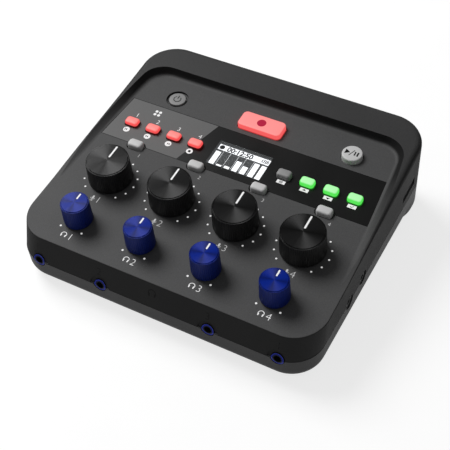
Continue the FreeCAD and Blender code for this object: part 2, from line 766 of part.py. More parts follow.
# Sockets' axes, and the side board that carries those in the right wall
side_board_right = half_width - wall - side_board_edge
side_board_left = side_board_right - side_board_width
jack_outer = half_width - jack_corner
jack_places = [-jack_outer, -jack_inner, jack_inner, jack_outer]
side_axis = -side_board_drop - side_jack_height / 2
side_places = [side_jack_rear, side_jack_rear - side_jack_pitch]
card_z = -side_board_drop - card_body / 2
usb_z = -board_drop - board_thickness - usb_height / 2
mic_z = -mic_drop
mic_outer = half_width - mic_side
mic_places = [-mic_outer, -mic_outer / 3, mic_outer / 3, mic_outer]


def jack_holes():
    front = [rod(jack_nose + fit_gap, wall * 3, x, front_y - wall, jack_z, "y") for x in jack_places]
    side = [rod(side_nose + fit_gap, wall * 3, half_width + wall, y, side_axis, "-x") for y in side_places]
    dish = [
        rod(side_scoop, wall + jack_scoop_sink, half_width + wall, y, side_axis, "-x") for y in side_places
    ]
    return front + side + dish


def before_wall(name, sink):
    """All that lies before the top cover's sloping front wall, and sink behind its face."""
    return profile(
        name,
        [
            (front_y + sink, panel_z(-base_front)),
            (-panel_front + sink, 0),
            (-panel_front - wall * 3, 0),
            (front_y - wall * 3, panel_z(-base_front)),
        ],
        half_width,
    )


recess_front = before_wall("jack_recess_side_view", jack_scoop_sink)
recess_rods = fuse([rod(jack_scoop, wall * 8, x, front_y - wall * 3, jack_z, "y") for x in jack_places])
jack_recesses = common(recess_front, recess_rods)
mic_holes = [rod(mic_radius + fit_gap, wall * 3, x, rear_y - wall * 2, mic_z, "y") for x in mic_places]
card_slot = block(
    half_width - wall * 2, half_width + wall,
    card_middle - card_width / 2, card_middle + card_width / 2,
    card_z - card_slot_height / 2, card_z + card_slot_height / 2,
)
card_dish = block(
    half_width - card_scoop_sink, half_width + wall,
    card_middle - card_width / 2 - card_scoop_rim, card_middle + card_width / 2 + card_scoop_rim,
    card_z - card_scoop_rim - card_slot_height / 2, card_z + card_scoop_rim + card_slot_height / 2,
)
usb_hole = block(
    -half_width - wall, -half_width + wall * 2,
    usb_middle - usb_width / 2 - fit_gap, usb_middle + usb_width / 2 + fit_gap,
    usb_z - usb_height / 2 - fit_gap, usb_z + usb_height / 2 + fit_gap,
)
bush_gain = gain_shaft + shaft_gap + bush_wall
bush_phones = phones_shaft + shaft_gap + bush_wall
bush_holes = []
for x in channels:
    bush_holes.append(rod(bush_gain + fit_gap, wall * 4, x, 0, -wall * 2))
    bush_holes.append(rod(bush_phones + fit_gap, wall * 4, x, -phones_row, -wall * 2))
mute_slots = [
    tablet(
        mute_slot_width, mute_slot_depth, mute_slot_depth / 2 - fit_gap,
        x, mute_row, -inlay_thickness, wall,
    )
    for x in channels
]
power_x = keys["power_button"][1]
power_dish = rod(power_well, power_sink + wall, power_x, top_row, -power_sink)

# Bosses: for the case screws they stand square to the parting plane, from it up to the roof
screw_places = []
for side in (-1, 1):
    screw_places += [
        (screw_front_side * side, -screw_front, -wall / 2),
        (screw_middle_side * side, screw_middle, -wall / 2),
        ((half_width - screw_rear_side) * side, screw_rear, rim_z(screw_rear) - wall / 2),
    ]
case_bosses = []
boss_pilots = []
boss_passages = []
for x, y, top in screw_places:
    height = (top - panel_z(y)) / cosine(parting_angle)
    boss = rod(case_boss, height, 0, 0, 0)
    in_base(boss, x, y, 0)
    pilot = rod(case_screw + screw_gap, case_screw_reach + spill * 2, 0, 0, 0)
    in_base(pilot, x, y, -spill)
    passage = rod(case_boss + board_gap, height, 0, 0, 0)
    in_base(passage, x, y, 0)
    case_bosses.append(boss)
    boss_pilots.append(pilot)
    boss_passages.append(passage)
board_screws_at = []
for side in (-1, 1):
    board_screws_at.append((screw_middle_side * side, -board_screw_front))
    board_screws_at.append(((half_width - board_screw_side) * side, board_screw_rear))
board_bosses = [rod(board_boss, board_drop - wall / 2, x, y, -board_drop) for x, y in board_screws_at]
board_pilots = [
    rod(board_screw + screw_gap, board_screw_reach + spill, x, y, -board_drop - spill)
    for x, y in board_screws_at
]

hollow = cut(cut(rimmed, sink_tool), cavity)
inlay_pocket = prism("inlay_pocket_outline", inlay_outline(fit_gap), -inlay_thickness, wall)
bossed = fuse([hollow] + case_bosses + board_bosses)
jack_tools = jack_holes()
openings = (
    key_holes + jack_tools + mic_holes + bush_holes + mute_slots + boss_pilots + board_pilots
    + [inlay_pocket, window, jack_recesses, card_slot, card_dish, usb_hole, power_dish]
)
top_cover = cut(bossed, openings, "top_cover")
put(top_cover, 0, 0, 0, PANEL)

# Bottom cover: a tray square to the panel at its sides, with the battery bulge at the back


def tray(name, start, upper, lower, inset, radii):
    """A tray-shaped solid from start to the rear wall, between two depths, drawn in by inset."""
    first, last = dim(start) + inset, rear_y - inset
    solid = profile(
        name,
        [
            (first, under_z(first, upper)),
            (first, under_z(first, lower)),
            (last, under_z(last, lower)),
            (last, under_z(last, upper)),
        ],
        half_width - inset,
    )
    picks = [(rear_edge, radii[1] - inset, radii[1] - inset)]
    if radii[0] is not None:
        picks.append((front_edge, radii[0] - inset, radii[0] - inset))
    return rounded(solid, picks)


def low_edge(start, depth):
    """Picks the edges that run round a tray's underside, but not the one across its front."""
    def test(edge, middle):
        bottom = under_z(dim(middle.y), depth).value
        return abs(middle.z - bottom) < 0.2 and middle.y > dim(start).value + 0.5
    return test


def any_low_edge(depth):
    def test(edge, middle):
        return abs(middle.z - under_z(dim(middle.y), depth).value) < 0.2
    return test


both_corners = (front_corner, rear_corner)
shell = rounded(
    tray("shell_side_view", front_y, 0, base_depth, 0, both_corners),
    [(any_low_edge(base_depth), base_round, base_round)],
)
bulge_block = tray(
    "bulge_side_view", bulge_start, base_depth / 2, full_depth, 0, (None, rear_corner)
)


bulge = rounded(bulge_block, [(low_edge(bulge_start, full_depth), bulge_round, bulge_round)])
tray_outside = fuse([shell, bulge])

inner_shell = rounded(
    tray("inner_shell_side_view", front_y, -spill, base_depth - wall, wall, both_corners),
    [(any_low_edge(base_depth - wall), base_round - wall, base_round - wall)],
)
inner_bulge = tray(
    "inner_bulge_side_view", bulge_start, base_depth - wall * 2, full_depth - wall, wall,
    (None, rear_corner),
)
groove_outside = profile(
    "groove_side_view",
    [
        (front_y - spill, under_z(front_y - spill, 0)),
        (front_y - spill, under_z(front_y - spill, groove_height)),
        (rear_y + spill, under_z(rear_y + spill, groove_height)),
        (rear_y + spill, under_z(rear_y + spill, 0)),
    ],
    half_width + spill,
)
groove_inside = tray(
    "groove_inside_side_view", front_y, -spill, groove_height + spill, groove_depth, both_corners
)
groove_ring = cut(groove_outside, groove_inside)

# What follows is laid out in the base frame
bay_middle = (bay_front + bay_rear) / 2
bay_box = block(
    -bay_half - bay_wall, bay_half + bay_wall, bay_front - bay_wall, bay_rear + bay_wall,
    -full_depth + wall / 2, bay_roof - bay_top,
)
posts = [bay_box]
base_cuts = []
for x, y, top in screw_places:
    under = full_depth if y is screw_rear else base_depth
    posts.append(rod(case_screw_well + post_wall, under - wall / 2, x, y, -under + wall / 2))
    base_cuts.append(rod(case_screw_well, under + spill - case_screw_seat, x, y, -under - spill))
    base_cuts.append(
        rod(case_screw + screw_gap, case_screw_seat + spill * 2, x, y, -case_screw_seat - spill)
    )
foot_places = []
for side in (-1, 1):
    foot_places += [
        ((half_width - foot_front_side) * side, -foot_front, base_depth),
        ((half_width - foot_rear_side) * side, foot_rear, full_depth),
    ]
for x, y, under in foot_places:
    base_cuts.append(rod(foot_radius + fit_gap, foot_seat + spill, x, y, -under - spill))
door_front = (bulge_start + full_depth * sine(parting_angle)) / cosine(parting_angle)
tongue_low = -full_depth + (wall - door_tongue_thickness) / 2
base_cuts += [
    block(-bay_half, bay_half, bay_front, bay_rear, -full_depth - spill, -bay_top),
    block(
        -bay_half, bay_half, bulge_start - spill, bay_rear + door_gap,
        -full_depth - spill, -full_depth + door_thickness + door_slide_gap,
    ),
    block(
        -bay_half - door_tongue - door_gap, bay_half + door_tongue + door_gap,
        bulge_start - spill, bay_rear + door_gap,
        tongue_low - door_slide_gap, tongue_low + door_tongue_thickness + door_slide_gap,
    ),
]
posts = fuse(posts)
in_base(posts, 0, 0, 0)
base_cuts = fuse(base_cuts)
in_base(base_cuts, 0, 0, 0)
furnished = fuse([cut(tray_outside, [inner_shell, inner_bulge]), posts])
bottom_cover = cut(furnished, [base_cuts, groove_ring] + jack_tools, "bottom_cover")
put(bottom_cover, 0, 0, 0, PANEL)

# Battery door: a flat lid whose side tongues slide in grooves of the bottom cover
door_half = bay_half - door_gap
lid = fuse(
    [
        block(-door_half, door_half, door_front, bay_rear, -full_depth, -full_depth + door_thickness),
        block(
            -door_half - door_tongue, door_half + door_tongue, door_front + door_thickness, bay_rear,
            tongue_low, tongue_low + door_tongue_thickness,
        ),
    ]
)
grips = []
for k in range(5):
    middle = door_front + door_thickness * 2 + door_grip_pitch * k
    grips.append(
        block(
            -door_grip_width / 2, door_grip_width / 2, middle, middle + door_grip_pitch / 2,
            -full_depth - spill, -full_depth + door_grip_depth,
        )
    )
battery_door = cut(lid, grips, "battery_door")
put(battery_door, 0, 0, 0, BASE)

# Four cells in two rows, two in line in each, with a raised contact at either end
cell_length = bay_half - contact_reach - contact_thickness - door_gap
cell_z = -bay_top - door_gap - cell_radius
cells = []
for side, way in ((-1, "x"), (1, "-x")):
    row = bay_middle + cell_pitch / 2 * side
    for step in (-1, 0):
        start = cell_length * (step if way == "x" else -step)
        end = start + cell_length * (1 if way == "x" else -1)
        nub_root = end - cell_nub_height * (1 if way == "x" else -1)
        cells.append(
            fuse(
                [
                    rod(cell_radius, cell_length - cell_nub_height, start, row, cell_z, way),
                    rod(cell_nub, cell_nub_height, nub_root, row, cell_z, way),
                ]
            )
        )
batteries = group(cells, "batteries")
put(batteries, 0, 0, 0, BASE)

contacts = []
for side, ends in ((-1, [0]), (1, [-1, 1])):
    wall_x = bay_half * side
    inner_x = wall_x - contact_thickness * side
    left, right = (wall_x, inner_x) if side < 0 else (inner_x, wall_x)
    for end in ends:
        middle = bay_middle + cell_pitch / 2 * end
        spread = contact_height / 2 + (cell_pitch / 2 if end == 0 else 0)
        rows = [-1, 1] if end == 0 else [end]
        plate = block(
            left, right, middle - spread, middle + spread,
            cell_z - contact_height / 2, cell_z + contact_height / 2,
        )
        bumps = [
            rod(
                contact_bump, contact_reach, inner_x, bay_middle + cell_pitch / 2 * row, cell_z,
                "x" if side < 0 else "-x",
            )
            for row in rows
        ]
        contacts.append(fuse([plate] + bumps))
battery_contacts = group(contacts, "battery_contacts")
put(battery_contacts, 0, 0, 0, BASE)

# Feet: their soles lie in the plane of the table
table_side = block(-reach, reach, -reach, reach, 0, reach)
soles = []
for x, y, under in foot_places:
    foot = rod(foot_radius, foot_seat + foot_front_height * 2, 0, 0, 0)
    put(foot, x, y, -under - foot_front_height * 2, BASE)
    soles.append(common(foot, table_side))
feet = group(soles, "feet")


def screw(name, shank, head, head_height, under_head, reach_up):
    """A screw that points upwards, its head hanging under the given height."""
    piece = body(fresh(name))
    turned(
        piece,
        name + "_outline",
        [
            (0, under_head - head_height),
            (head, under_head - head_height),
            (head, under_head),
            (shank, under_head),
            (shank, reach_up),
            (0, reach_up),
        ],
    )
    return piece


screws = []
for x, y, top in screw_places:
    piece = screw(
        "case_screw", case_screw, case_screw_head, case_screw_head_height, -case_screw_seat,
        case_screw_reach,
    )
    put(piece, x, y, 0)
    screws.append(piece)
case_screws = group(screws, "case_screws")
put(case_screws, 0, 0, 0, BASE)

# Boards
board_bottom = -board_drop - board_thickness
screws = []
for x, y in board_screws_at:
    piece = screw(
        "board_screw", board_screw, board_screw_head, board_screw_head_height, board_bottom,
        board_screw_reach - board_drop,
    )
    put(piece, x, y, 0)
    screws.append(piece)
board_screws = group(screws, "board_screws")
put(board_screws, 0, 0, 0, PANEL)

board_half = half_width - wall - board_edge
board_plate = rounded(
    block(-board_half, board_half, -board_front, board_rear, board_bottom, -board_drop),
    [(front_edge, board_corner, board_corner)],
)
board_holes = [
    rod(board_screw + screw_gap, board_thickness * 3, x, y, board_bottom - board_thickness)
    for x, y in board_screws_at
]
main_board = cut(board_plate, boss_passages + board_holes, "main_board")
put(main_board, 0, 0, 0, PANEL)

rear_board_front = mic_back - fit_gap - board_thickness
rear_board_half = half_width - rear_board_side
rear_board = block(
    -rear_board_half, rear_board_half, rear_board_front, rear_board_front + board_thickness,
    -rear_board_bottom, -rear_board_top,
)
rear_board.Label = "rear_board"
put(rear_board, -rear_board_half, rear_board_front, -rear_board_bottom, PANEL)

side_board_rear = mic_back - board_gap
side_board = block(
    side_board_left, side_board_right, -side_board_front, side_board_rear,
    -side_board_drop, board_thickness - side_board_drop,
)
side_board.Label = "side_board"
put(side_board, side_board_left, -side_board_front, -side_board_drop, PANEL)

link_middle = (side_board_left + side_board_right) / 2
board_links = group(
    [
        block(
            link_middle - link_width / 2, link_middle + link_width / 2, link_length, link_length * 2,
            board_thickness - side_board_drop, board_bottom,
        ),
        block(
            -rear_link_half, rear_link_half, rear_board_front - rear_link_depth, rear_board_front,
            board_bottom - rear_link_height, board_bottom,
        ),
    ],
    "board_links",
)
put(board_links, 0, 0, 0, PANEL)

# Rotary controls, their shafts and knobs


def control(x, y, shaft, bush):
    """A control's body under the panel with the bush that comes up through it."""
    half = control_body / 2
    solid = fuse(
        [
            block(x - half, x + half, dim(y) - half, dim(y) + half, -board_drop, -wall),
            rod(bush, wall + bush_rise, x, y, -wall),
        ]
    )
    bore_floor = control_floor - board_drop
    return cut(solid, rod(shaft + shaft_gap, board_drop + bush_rise, x, y, bore_floor - tip_gap))


gain_controls = group([control(x, 0, gain_shaft, bush_gain) for x in channels], "gain_controls")
put(gain_controls, 0, 0, 0, PANEL)
phones_controls = group(
    [control(x, -phones_row, phones_shaft, bush_phones) for x in channels], "phones_controls"
)
put(phones_controls, 0, 0, 0, PANEL)


def shaft_and_knob(kind, number, x, y, shaft, foot, top, height):
    piece = body(f"{kind}_shaft_{number}")
    tip = height - knob_roof - tip_gap
    turned(
        piece,
        kind + "_shaft_outline",
        [
            (0, control_floor - board_drop),
            (shaft, control_floor - board_drop),
            (shaft, tip - knob_rim),
            (shaft - knob_rim, tip),
            (0, tip),
        ],
    )
    put(piece, x, y, 0, PANEL)
    knob = body(f"{kind}_knob_{number}")
    bore = shaft + grip_gap
    hub_low = bush_rise + knob_lift
    roof_low = height - knob_roof
    turned(
        knob,
        kind + "_knob_outline",
        [
            (foot, knob_lift),
            (top, height - knob_rim),
            (top - knob_rim, height),
            (0, height),
            (0, roof_low),
            (bore, roof_low),
            (bore, hub_low),
            (bore + knob_hub, hub_low),
            (bore + knob_hub, roof_low),
            (top - knob_skirt, roof_low),
            (foot - knob_skirt, knob_lift),
        ],
    )
    put(knob, x, y, 0, PANEL)
    return [piece, knob]


nodes = []
for k, x in enumerate(channels, 1):
    nodes += shaft_and_knob("gain", k, x, 0, gain_shaft, gain_radius, gain_top_radius, gain_height)
    nodes += shaft_and_knob(
        "phones", k, x, -phones_row, phones_shaft, phones_radius, phones_top_radius, phones_height
    )


def key(name):
    """A key's cap with the flange that holds it under the panel."""
    (width, depth, corner), x, y = keys[name]
    piece = body(name)
    cap_low = -wall - flange_gap
    top = key_heights[name]
    if depth is None:
        sketch = disc(piece, name + "_outline", width / 2)
        under = disc(piece, name + "_flange_outline", width / 2 + flange_reach)
    else:
        across, along = width / 2, dim(depth) / 2
        sketch = outline(piece, name + "_outline", rectangle(-across, across, -along, along))
        across, along = across + flange_reach, along + flange_reach
        under = outline(piece, name + "_flange_outline", rectangle(-across, across, -along, along))
    raise_sketch(sketch, cap_low)
    raise_sketch(under, cap_low)
    cap = pad(piece, sketch, top - cap_low)
    if depth is not None:
        cap = soften(piece, cap, upright, corner)
    soften(piece, cap, lambda edge, middle: near(middle.z, top), key_edge)
    pad(piece, under, flange_thickness, down=True)
    put(piece, x, y, 0, PANEL)
    return piece


nodes += [key(name) for name in keys]

# Push switches on the main board, one under each key
pressed = -wall - flange_gap - flange_thickness - key_travel - press_rest
push_switches = []
for plan, x, y in keys.values():
    half = switch_side / 2
    base_top = switch_body - board_drop
    push_switches.append(
        fuse(
            [
                block(x - half, x + half, y - half, y + half, -board_drop, base_top),
                rod(plunger_radius, pressed - base_top, x, y, base_top),
            ]
        )
    )
key_switches = group(push_switches, "key_switches")
put(key_switches, 0, 0, 0, PANEL)

# Inlay and display
overlay_tools = mute_slots + [window]
for number, name in enumerate(keys):
    if name in overlay_keys:
        overlay_tools.append(key_holes[number])
panel_overlay = cut(
    prism("overlay_outline", inlay_outline(0), -inlay_thickness, 0), overlay_tools, "panel_overlay"
)
put(panel_overlay, 0, 0, 0, PANEL)

lens_half, lens_deep = window_width / 2 - fit_gap, window_depth / 2 - fit_gap
display_lens = block(
    -lens_half, lens_half, window_middle - lens_deep, window_middle + lens_deep, -lens_thickness, 0
)
display_lens.Label = "display_lens"
put(display_lens, -lens_half, window_middle - lens_deep, -lens_thickness, PANEL)

module_rear = module_middle + module_depth / 2
display_module = fuse(
    [
        block(
            -module_width / 2, module_width / 2, module_rear - module_depth, module_rear,
            -wall - module_thickness, -wall,
        ),
        block(
            -ribbon_width / 2, ribbon_width / 2,
            module_rear - ribbon_thickness * 2, module_rear - ribbon_thickness,
            -board_drop, -wall - module_thickness,
        ),
    ],
    "display_module",
)
put(display_module, 0, 0, 0, PANEL)

# Sockets


jack_slope = before_wall("jack_slope_side_view", nose_sink)


def phone_jack(x):
    """A front jack under the main board, its ring cut to the slope of the wall it shows in."""
    mouth = front_y + nose_sink
    root = front_y + wall + lean * (board_bottom - jack_z) + jack_setback
    half = jack_width / 2
    solid = fuse(
        [
            block(x - half, x + half, root, root + jack_length, jack_z - half, board_bottom),
            rod(jack_nose, root - mouth, x, mouth, jack_z, "y"),
        ]
    )
    return cut(solid, [rod(jack_bore, jack_bore_depth, x, mouth, jack_z, "y"), jack_slope])


phones_jacks = group([phone_jack(x) for x in jack_places], "phones_jacks")
put(phones_jacks, 0, 0, 0, PANEL)


def side_jack(y):
    mouth = half_width - jack_scoop_sink - nose_sink
    root = half_width - wall - nose_root
    half, deep = jack_width / 2, side_jack_height / 2
    solid = fuse(
        [
            block(
                root - jack_length, root, dim(y) - half, dim(y) + half,
                side_axis - deep, side_axis + deep,
            ),
            rod(side_nose, mouth - root, root, y, side_axis, "x"),
        ]
    )
    return cut(solid, rod(jack_bore, jack_bore_depth, mouth, y, side_axis, "-x"))


side_jacks = group([side_jack(y) for y in side_places], "side_jacks")
put(side_jacks, 0, 0, 0, PANEL)


throat_start = rear_y - mic_throat_depth


def mic_socket(number, x):
    """A microphone socket's shell: its flange behind the wall, and a barrel open to the rear."""
    flange_rear = rear_y - wall - nose_root
    solid = fuse(
        [
            rod(mic_radius, rear_y - flange_rear, x, flange_rear, mic_z, "y"),
            rod(mic_flange, mic_flange_thickness, x, flange_rear - mic_flange_thickness, mic_z, "y"),
            rod(mic_throat + mic_barrel_wall, flange_rear - mic_back, x, mic_back, mic_z, "y"),
        ]
    )
    throat = rod(mic_throat, mic_throat_depth + spill, x, throat_start, mic_z, "y")
    socket = cut(solid, throat, f"mic_socket_{number}")
    put(socket, 0, 0, 0, PANEL)
    return socket


def mic_insert(x):
    """The plug's counterpart inside a shell: it stands on the shell's floor and has three holes."""
    pins = []
    for turn in (-90, 30, 150):
        side, rise_up = math.cos(math.radians(turn)), math.sin(math.radians(turn))
        pins.append(
            rod(
                mic_pin_hole, mic_throat_depth + spill * 2, x + mic_pin_circle * side,
                throat_start - spill, mic_z + mic_pin_circle * rise_up, "y",
            )
        )
    return cut(rod(mic_core, mic_throat_depth, x, throat_start, mic_z, "y"), pins)


nodes += [mic_socket(k, x) for k, x in enumerate(mic_places, 1)]
mic_inserts = group([mic_insert(x) for x in mic_places], "mic_inserts")
put(mic_inserts, 0, 0, 0, PANEL)

usb_face = -half_width + nose_sink
usb_half, usb_deep = usb_width / 2, usb_height / 2
usb_room = fuse(
    [
        block(
            usb_face, usb_face + usb_length,
            usb_middle - usb_half, usb_middle + usb_half, usb_z - usb_deep, usb_z + usb_deep,
        )
    ]
)
usb_shell = cut(
    usb_room,
    block(
        usb_face - spill, usb_face + usb_length - usb_metal * 2,
        usb_middle - usb_half + usb_metal, usb_middle + usb_half - usb_metal,
        usb_z - usb_deep + usb_metal, usb_z + usb_deep - usb_metal,
    ),
)
usb_port = fuse(
    [
        usb_shell,
        block(
            usb_face + usb_metal * 2, usb_face + usb_length - usb_metal,
            usb_middle - usb_half + usb_metal * 3, usb_middle + usb_half - usb_metal * 3,
            usb_z - usb_tongue / 2, usb_z + usb_tongue / 2,
        ),
    ],
    "usb_port",
)
put(usb_port, 0, 0, 0, PANEL)

card_root = half_width - wall - nose_root
card_half = card_width / 2 + card_slot_height / 2
card_socket = cut(
    block(
        side_board_left, card_root, card_middle - card_half, card_middle + card_half,
        -side_board_drop - card_body, -side_board_drop,
    ),
    block(
        side_board_left + card_slot_height, card_root + spill,
        card_middle - card_width / 2, card_middle + card_width / 2,
        card_z - card_slot_height / 2, card_z + card_slot_height / 2,
    ),
    "card_socket",
)
put(card_socket, 0, 0, 0, PANEL)

nodes += [
    top_cover, bottom_cover, panel_overlay, display_lens, display_module, main_board, rear_board,
    side_board, board_links, gain_controls, phones_controls, key_switches, phones_jacks, side_jacks,
    mic_inserts, usb_port, card_socket, battery_door, batteries, battery_contacts, feet, case_screws,
    board_screws,
]

doc.recompute()
failed = [thing.Label for thing in doc.Objects if {"Invalid", "Error"} & set(thing.State)]
if failed:
    raise SystemExit("These did not build: " + ", ".join(failed))
for node in nodes:
    if node.Shape.isNull() or not node.Shape.isValid():
        raise SystemExit(f"{node.Label} has no valid shape")

os.makedirs("parts", exist_ok=True)
for node in nodes:
    node.Shape.exportStep(f"parts/{node.Label}.step")
print(f"{len(nodes)} pieces written")
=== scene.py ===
import bpy
import bmesh
import json
import math
from mathutils import Euler, Matrix, Vector
from mathutils.bvhtree import BVHTree


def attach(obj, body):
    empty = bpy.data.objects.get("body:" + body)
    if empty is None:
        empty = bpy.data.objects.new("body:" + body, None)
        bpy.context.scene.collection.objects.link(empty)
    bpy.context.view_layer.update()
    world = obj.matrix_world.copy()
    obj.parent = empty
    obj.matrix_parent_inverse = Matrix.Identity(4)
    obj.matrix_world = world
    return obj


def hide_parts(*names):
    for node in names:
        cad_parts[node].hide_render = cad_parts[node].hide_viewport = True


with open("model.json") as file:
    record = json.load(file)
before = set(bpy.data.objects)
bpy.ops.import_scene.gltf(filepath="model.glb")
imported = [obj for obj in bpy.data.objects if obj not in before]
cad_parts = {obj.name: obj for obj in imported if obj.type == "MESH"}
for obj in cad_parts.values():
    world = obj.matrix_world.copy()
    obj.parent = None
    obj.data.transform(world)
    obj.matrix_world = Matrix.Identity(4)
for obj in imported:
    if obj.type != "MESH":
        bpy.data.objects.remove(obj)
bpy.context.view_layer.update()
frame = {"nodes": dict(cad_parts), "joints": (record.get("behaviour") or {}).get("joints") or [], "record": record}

# Podcast recorder with four channels. Sizes below are in millimetres and degrees, unless noted.
# Most pieces are laid out in the control panel's own frame: x to the right, y to the back and
# z square to the panel, with zero on its surface at the middle of the row of gain knobs.
mm = 0.001
nodes = frame["nodes"]
joints = {joint["name"]: joint for joint in frame["joints"]}
scene = bpy.context.scene
scene.view_settings.view_transform = "Standard"

gainRow = [Vector(joints[f"gain_turn_{n}"]["pos_m"]) for n in (1, 2, 3, 4)]
phonesRow = [Vector(joints[f"phones_turn_{n}"]["pos_m"]) for n in (1, 2, 3, 4)]
panelUp = Vector(joints["gain_turn_1"]["axis"]).normalized()
panelBack = panelUp.cross(Vector((1, 0, 0)))
panelTurn = Matrix((Vector((1, 0, 0)), panelBack, panelUp)).transposed().to_4x4()
panel = Matrix.Translation((gainRow[0] + gainRow[3]) / 2) @ panelTurn
channels = [place.x / mm for place in gainRow]
phonesY = (panel.inverted() @ phonesRow[0]).y / mm


def panelBox(node):
    # Lowest and highest corner of a CAD node in the panel's frame
    spots = [panel.inverted() @ v.co / mm for v in nodes[node].data.vertices]
    low = Vector([min(s[k] for s in spots) for k in range(3)])
    high = Vector([max(s[k] for s in spots) for k in range(3)])
    return low, high


def middleOf(node):
    low, high = panelBox(node)
    return (low + high) / 2


def shifted(x, y, z=0.0):
    return panel @ Matrix.Translation(Vector((x, y, z)) * mm)


# Finishes


class Graph:
    # Adds shader nodes to a tree and links them
    def __init__(self, tree):
        self.tree = tree

    def add(self, kind, **settings):
        node = self.tree.nodes.new(kind)
        for name, value in settings.items():
            setattr(node, name, value)
        return node

    def feed(self, node, socket, value):
        target = node.inputs[socket]
        if isinstance(value, bpy.types.NodeSocket):
            self.tree.links.new(value, target)
        else:
            target.default_value = value

    def math(self, operation, *values):
        node = self.add("ShaderNodeMath", operation=operation)
        for k, value in enumerate(values):
            self.feed(node, k, value)
        return node.outputs[0]

    def blend(self, factor, first, second):
        node = self.add("ShaderNodeMix", data_type="RGBA")
        for socket, value in ((0, factor), (6, first), (7, second)):
            self.feed(node, socket, value)
        return node.outputs[2]

    def ramp(self, value, low, high, start=0.0, end=1.0):
        node = self.add("ShaderNodeMapRange", clamp=True)
        for socket, number in enumerate((value, low, high, start, end)):
            self.feed(node, socket, number)
        return node.outputs[0]

    def noise(self, vector, scale, detail=2.0):
        node = self.add("ShaderNodeTexNoise")
        for socket, value in (("Vector", vector), ("Scale", scale), ("Detail", detail)):
            self.feed(node, socket, value)
        return node.outputs["Fac"]

    def place(self, kind="Object"):
        return self.add("ShaderNodeTexCoord").outputs[kind]

    def split(self, vector):
        node = self.add("ShaderNodeSeparateXYZ")
        self.feed(node, 0, vector)
        return node.outputs

    def use(self, group, **values):
        # Places a node group, with its inputs named in camelCase here
        node = self.add("ShaderNodeGroup", node_tree=group)
        for socket in node.inputs:
            key = socket.name[0].lower() + socket.name[1:].replace(" ", "")
            if key in values:
                self.feed(node, socket.name, values[key])
        return node.outputs


def newGroup(name, inputs, outputs):
    tree = bpy.data.node_groups.new(name, "ShaderNodeTree")
    for label, kind in inputs:
        tree.interface.new_socket(label, in_out="INPUT", socket_type="NodeSocket" + kind)
    for label, kind in outputs:
        tree.interface.new_socket(label, in_out="OUTPUT", socket_type="NodeSocket" + kind)
    graph = Graph(tree)
    return graph, graph.add("NodeGroupInput").outputs, graph.add("NodeGroupOutput")


def makeMouldedGrain():
    # Fine spark-eroded grain of moulded plastic, with faint cloudy wear in its gloss
    graph, given, result = newGroup(
        "mouldedGrain",
        [("Color", "Color"), ("Grain Size", "Float"), ("Mottle", "Float"), ("Gloss", "Float")],
        [("Color", "Color"), ("Roughness", "Float"), ("Height", "Float")])
    spot = graph.place()
    scale = graph.math("DIVIDE", 1.0, given["Grain Size"])
    grain = graph.noise(spot, scale, 3.0)
    cloud = graph.noise(spot, 35.0, 4.0)
    speck = graph.math("MULTIPLY_ADD", graph.math("SUBTRACT", grain, 0.5), given["Mottle"], 1.0)
    patch = graph.math("MULTIPLY_ADD", graph.math("SUBTRACT", cloud, 0.5), 0.12, speck)
    tint = graph.add("ShaderNodeMix", data_type="RGBA", blend_type="MULTIPLY")
    grey = graph.add("ShaderNodeCombineColor")
    for channel in range(3):
        graph.feed(grey, channel, patch)
    graph.feed(tint, 0, 1.0)
    graph.feed(tint, 6, given["Color"])
    graph.feed(tint, 7, grey.outputs[0])
    rough = graph.math("MULTIPLY_ADD", graph.math("SUBTRACT", cloud, 0.5), 0.18, given["Gloss"])
    graph.feed(result, "Color", tint.outputs[2])
    rougher = graph.math("MULTIPLY_ADD", graph.math("SUBTRACT", grain, 0.5), 0.1, rough)
    graph.feed(result, "Roughness", rougher)
    graph.feed(result, "Height", grain)
    return graph.tree


def makeSpunFace():
    # Fine turning marks round the object's own z axis, streaks that differ by angle, and dark fans painted by
    # angle: painted shade in place of the light a turned face catches
    graph, given, result = newGroup(
        "spunFace", [("Color", "Color"), ("Pitch", "Float"), ("Depth", "Float"), ("Fan", "Float")],
        [("Color", "Color"), ("Roughness", "Float"), ("Height", "Float")])
    x, y = graph.split(graph.place())[:2]
    squares = graph.math("ADD", graph.math("MULTIPLY", x, x), graph.math("MULTIPLY", y, y))
    radius = graph.math("SQRT", squares)
    rings = graph.add("ShaderNodeTexNoise", noise_dimensions="1D")
    graph.feed(rings, "W", graph.math("DIVIDE", radius, given["Pitch"]))
    graph.feed(rings, "Scale", 1.0)
    angle = graph.math("ARCTAN2", y, x)
    streak = graph.add("ShaderNodeTexNoise", noise_dimensions="1D")
    graph.feed(streak, "W", graph.math("COSINE", angle))
    graph.feed(streak, "Scale", 3.0)
    # Four dark fans a quarter turn apart: painted shade, fixed on the face, for the fans of light and shade a
    # turned face shows
    paintedFanPhase = -0.42
    wave = graph.math("ABSOLUTE", graph.math("SINE", graph.math("MULTIPLY_ADD", angle, 2.0, paintedFanPhase)))
    fan = graph.math("MULTIPLY", graph.ramp(wave, 0.0, 0.85, 1.0, 0.0), given["Fan"])
    ripple = graph.math("SUBTRACT", rings.outputs["Fac"], 0.5)
    ringed = graph.math("MULTIPLY_ADD", ripple, given["Depth"], 1.0)
    shade = graph.math("SUBTRACT", ringed, fan)
    tint = graph.add("ShaderNodeVectorMath", operation="SCALE")
    graph.feed(tint, 0, given["Color"])
    graph.feed(tint, "Scale", shade)
    graph.feed(result, "Color", tint.outputs[0])
    graph.feed(result, "Roughness", graph.ramp(streak.outputs["Fac"], 0.3, 0.7, 0.3, 0.38))
    graph.feed(result, "Height", rings.outputs["Fac"])
    return graph.tree


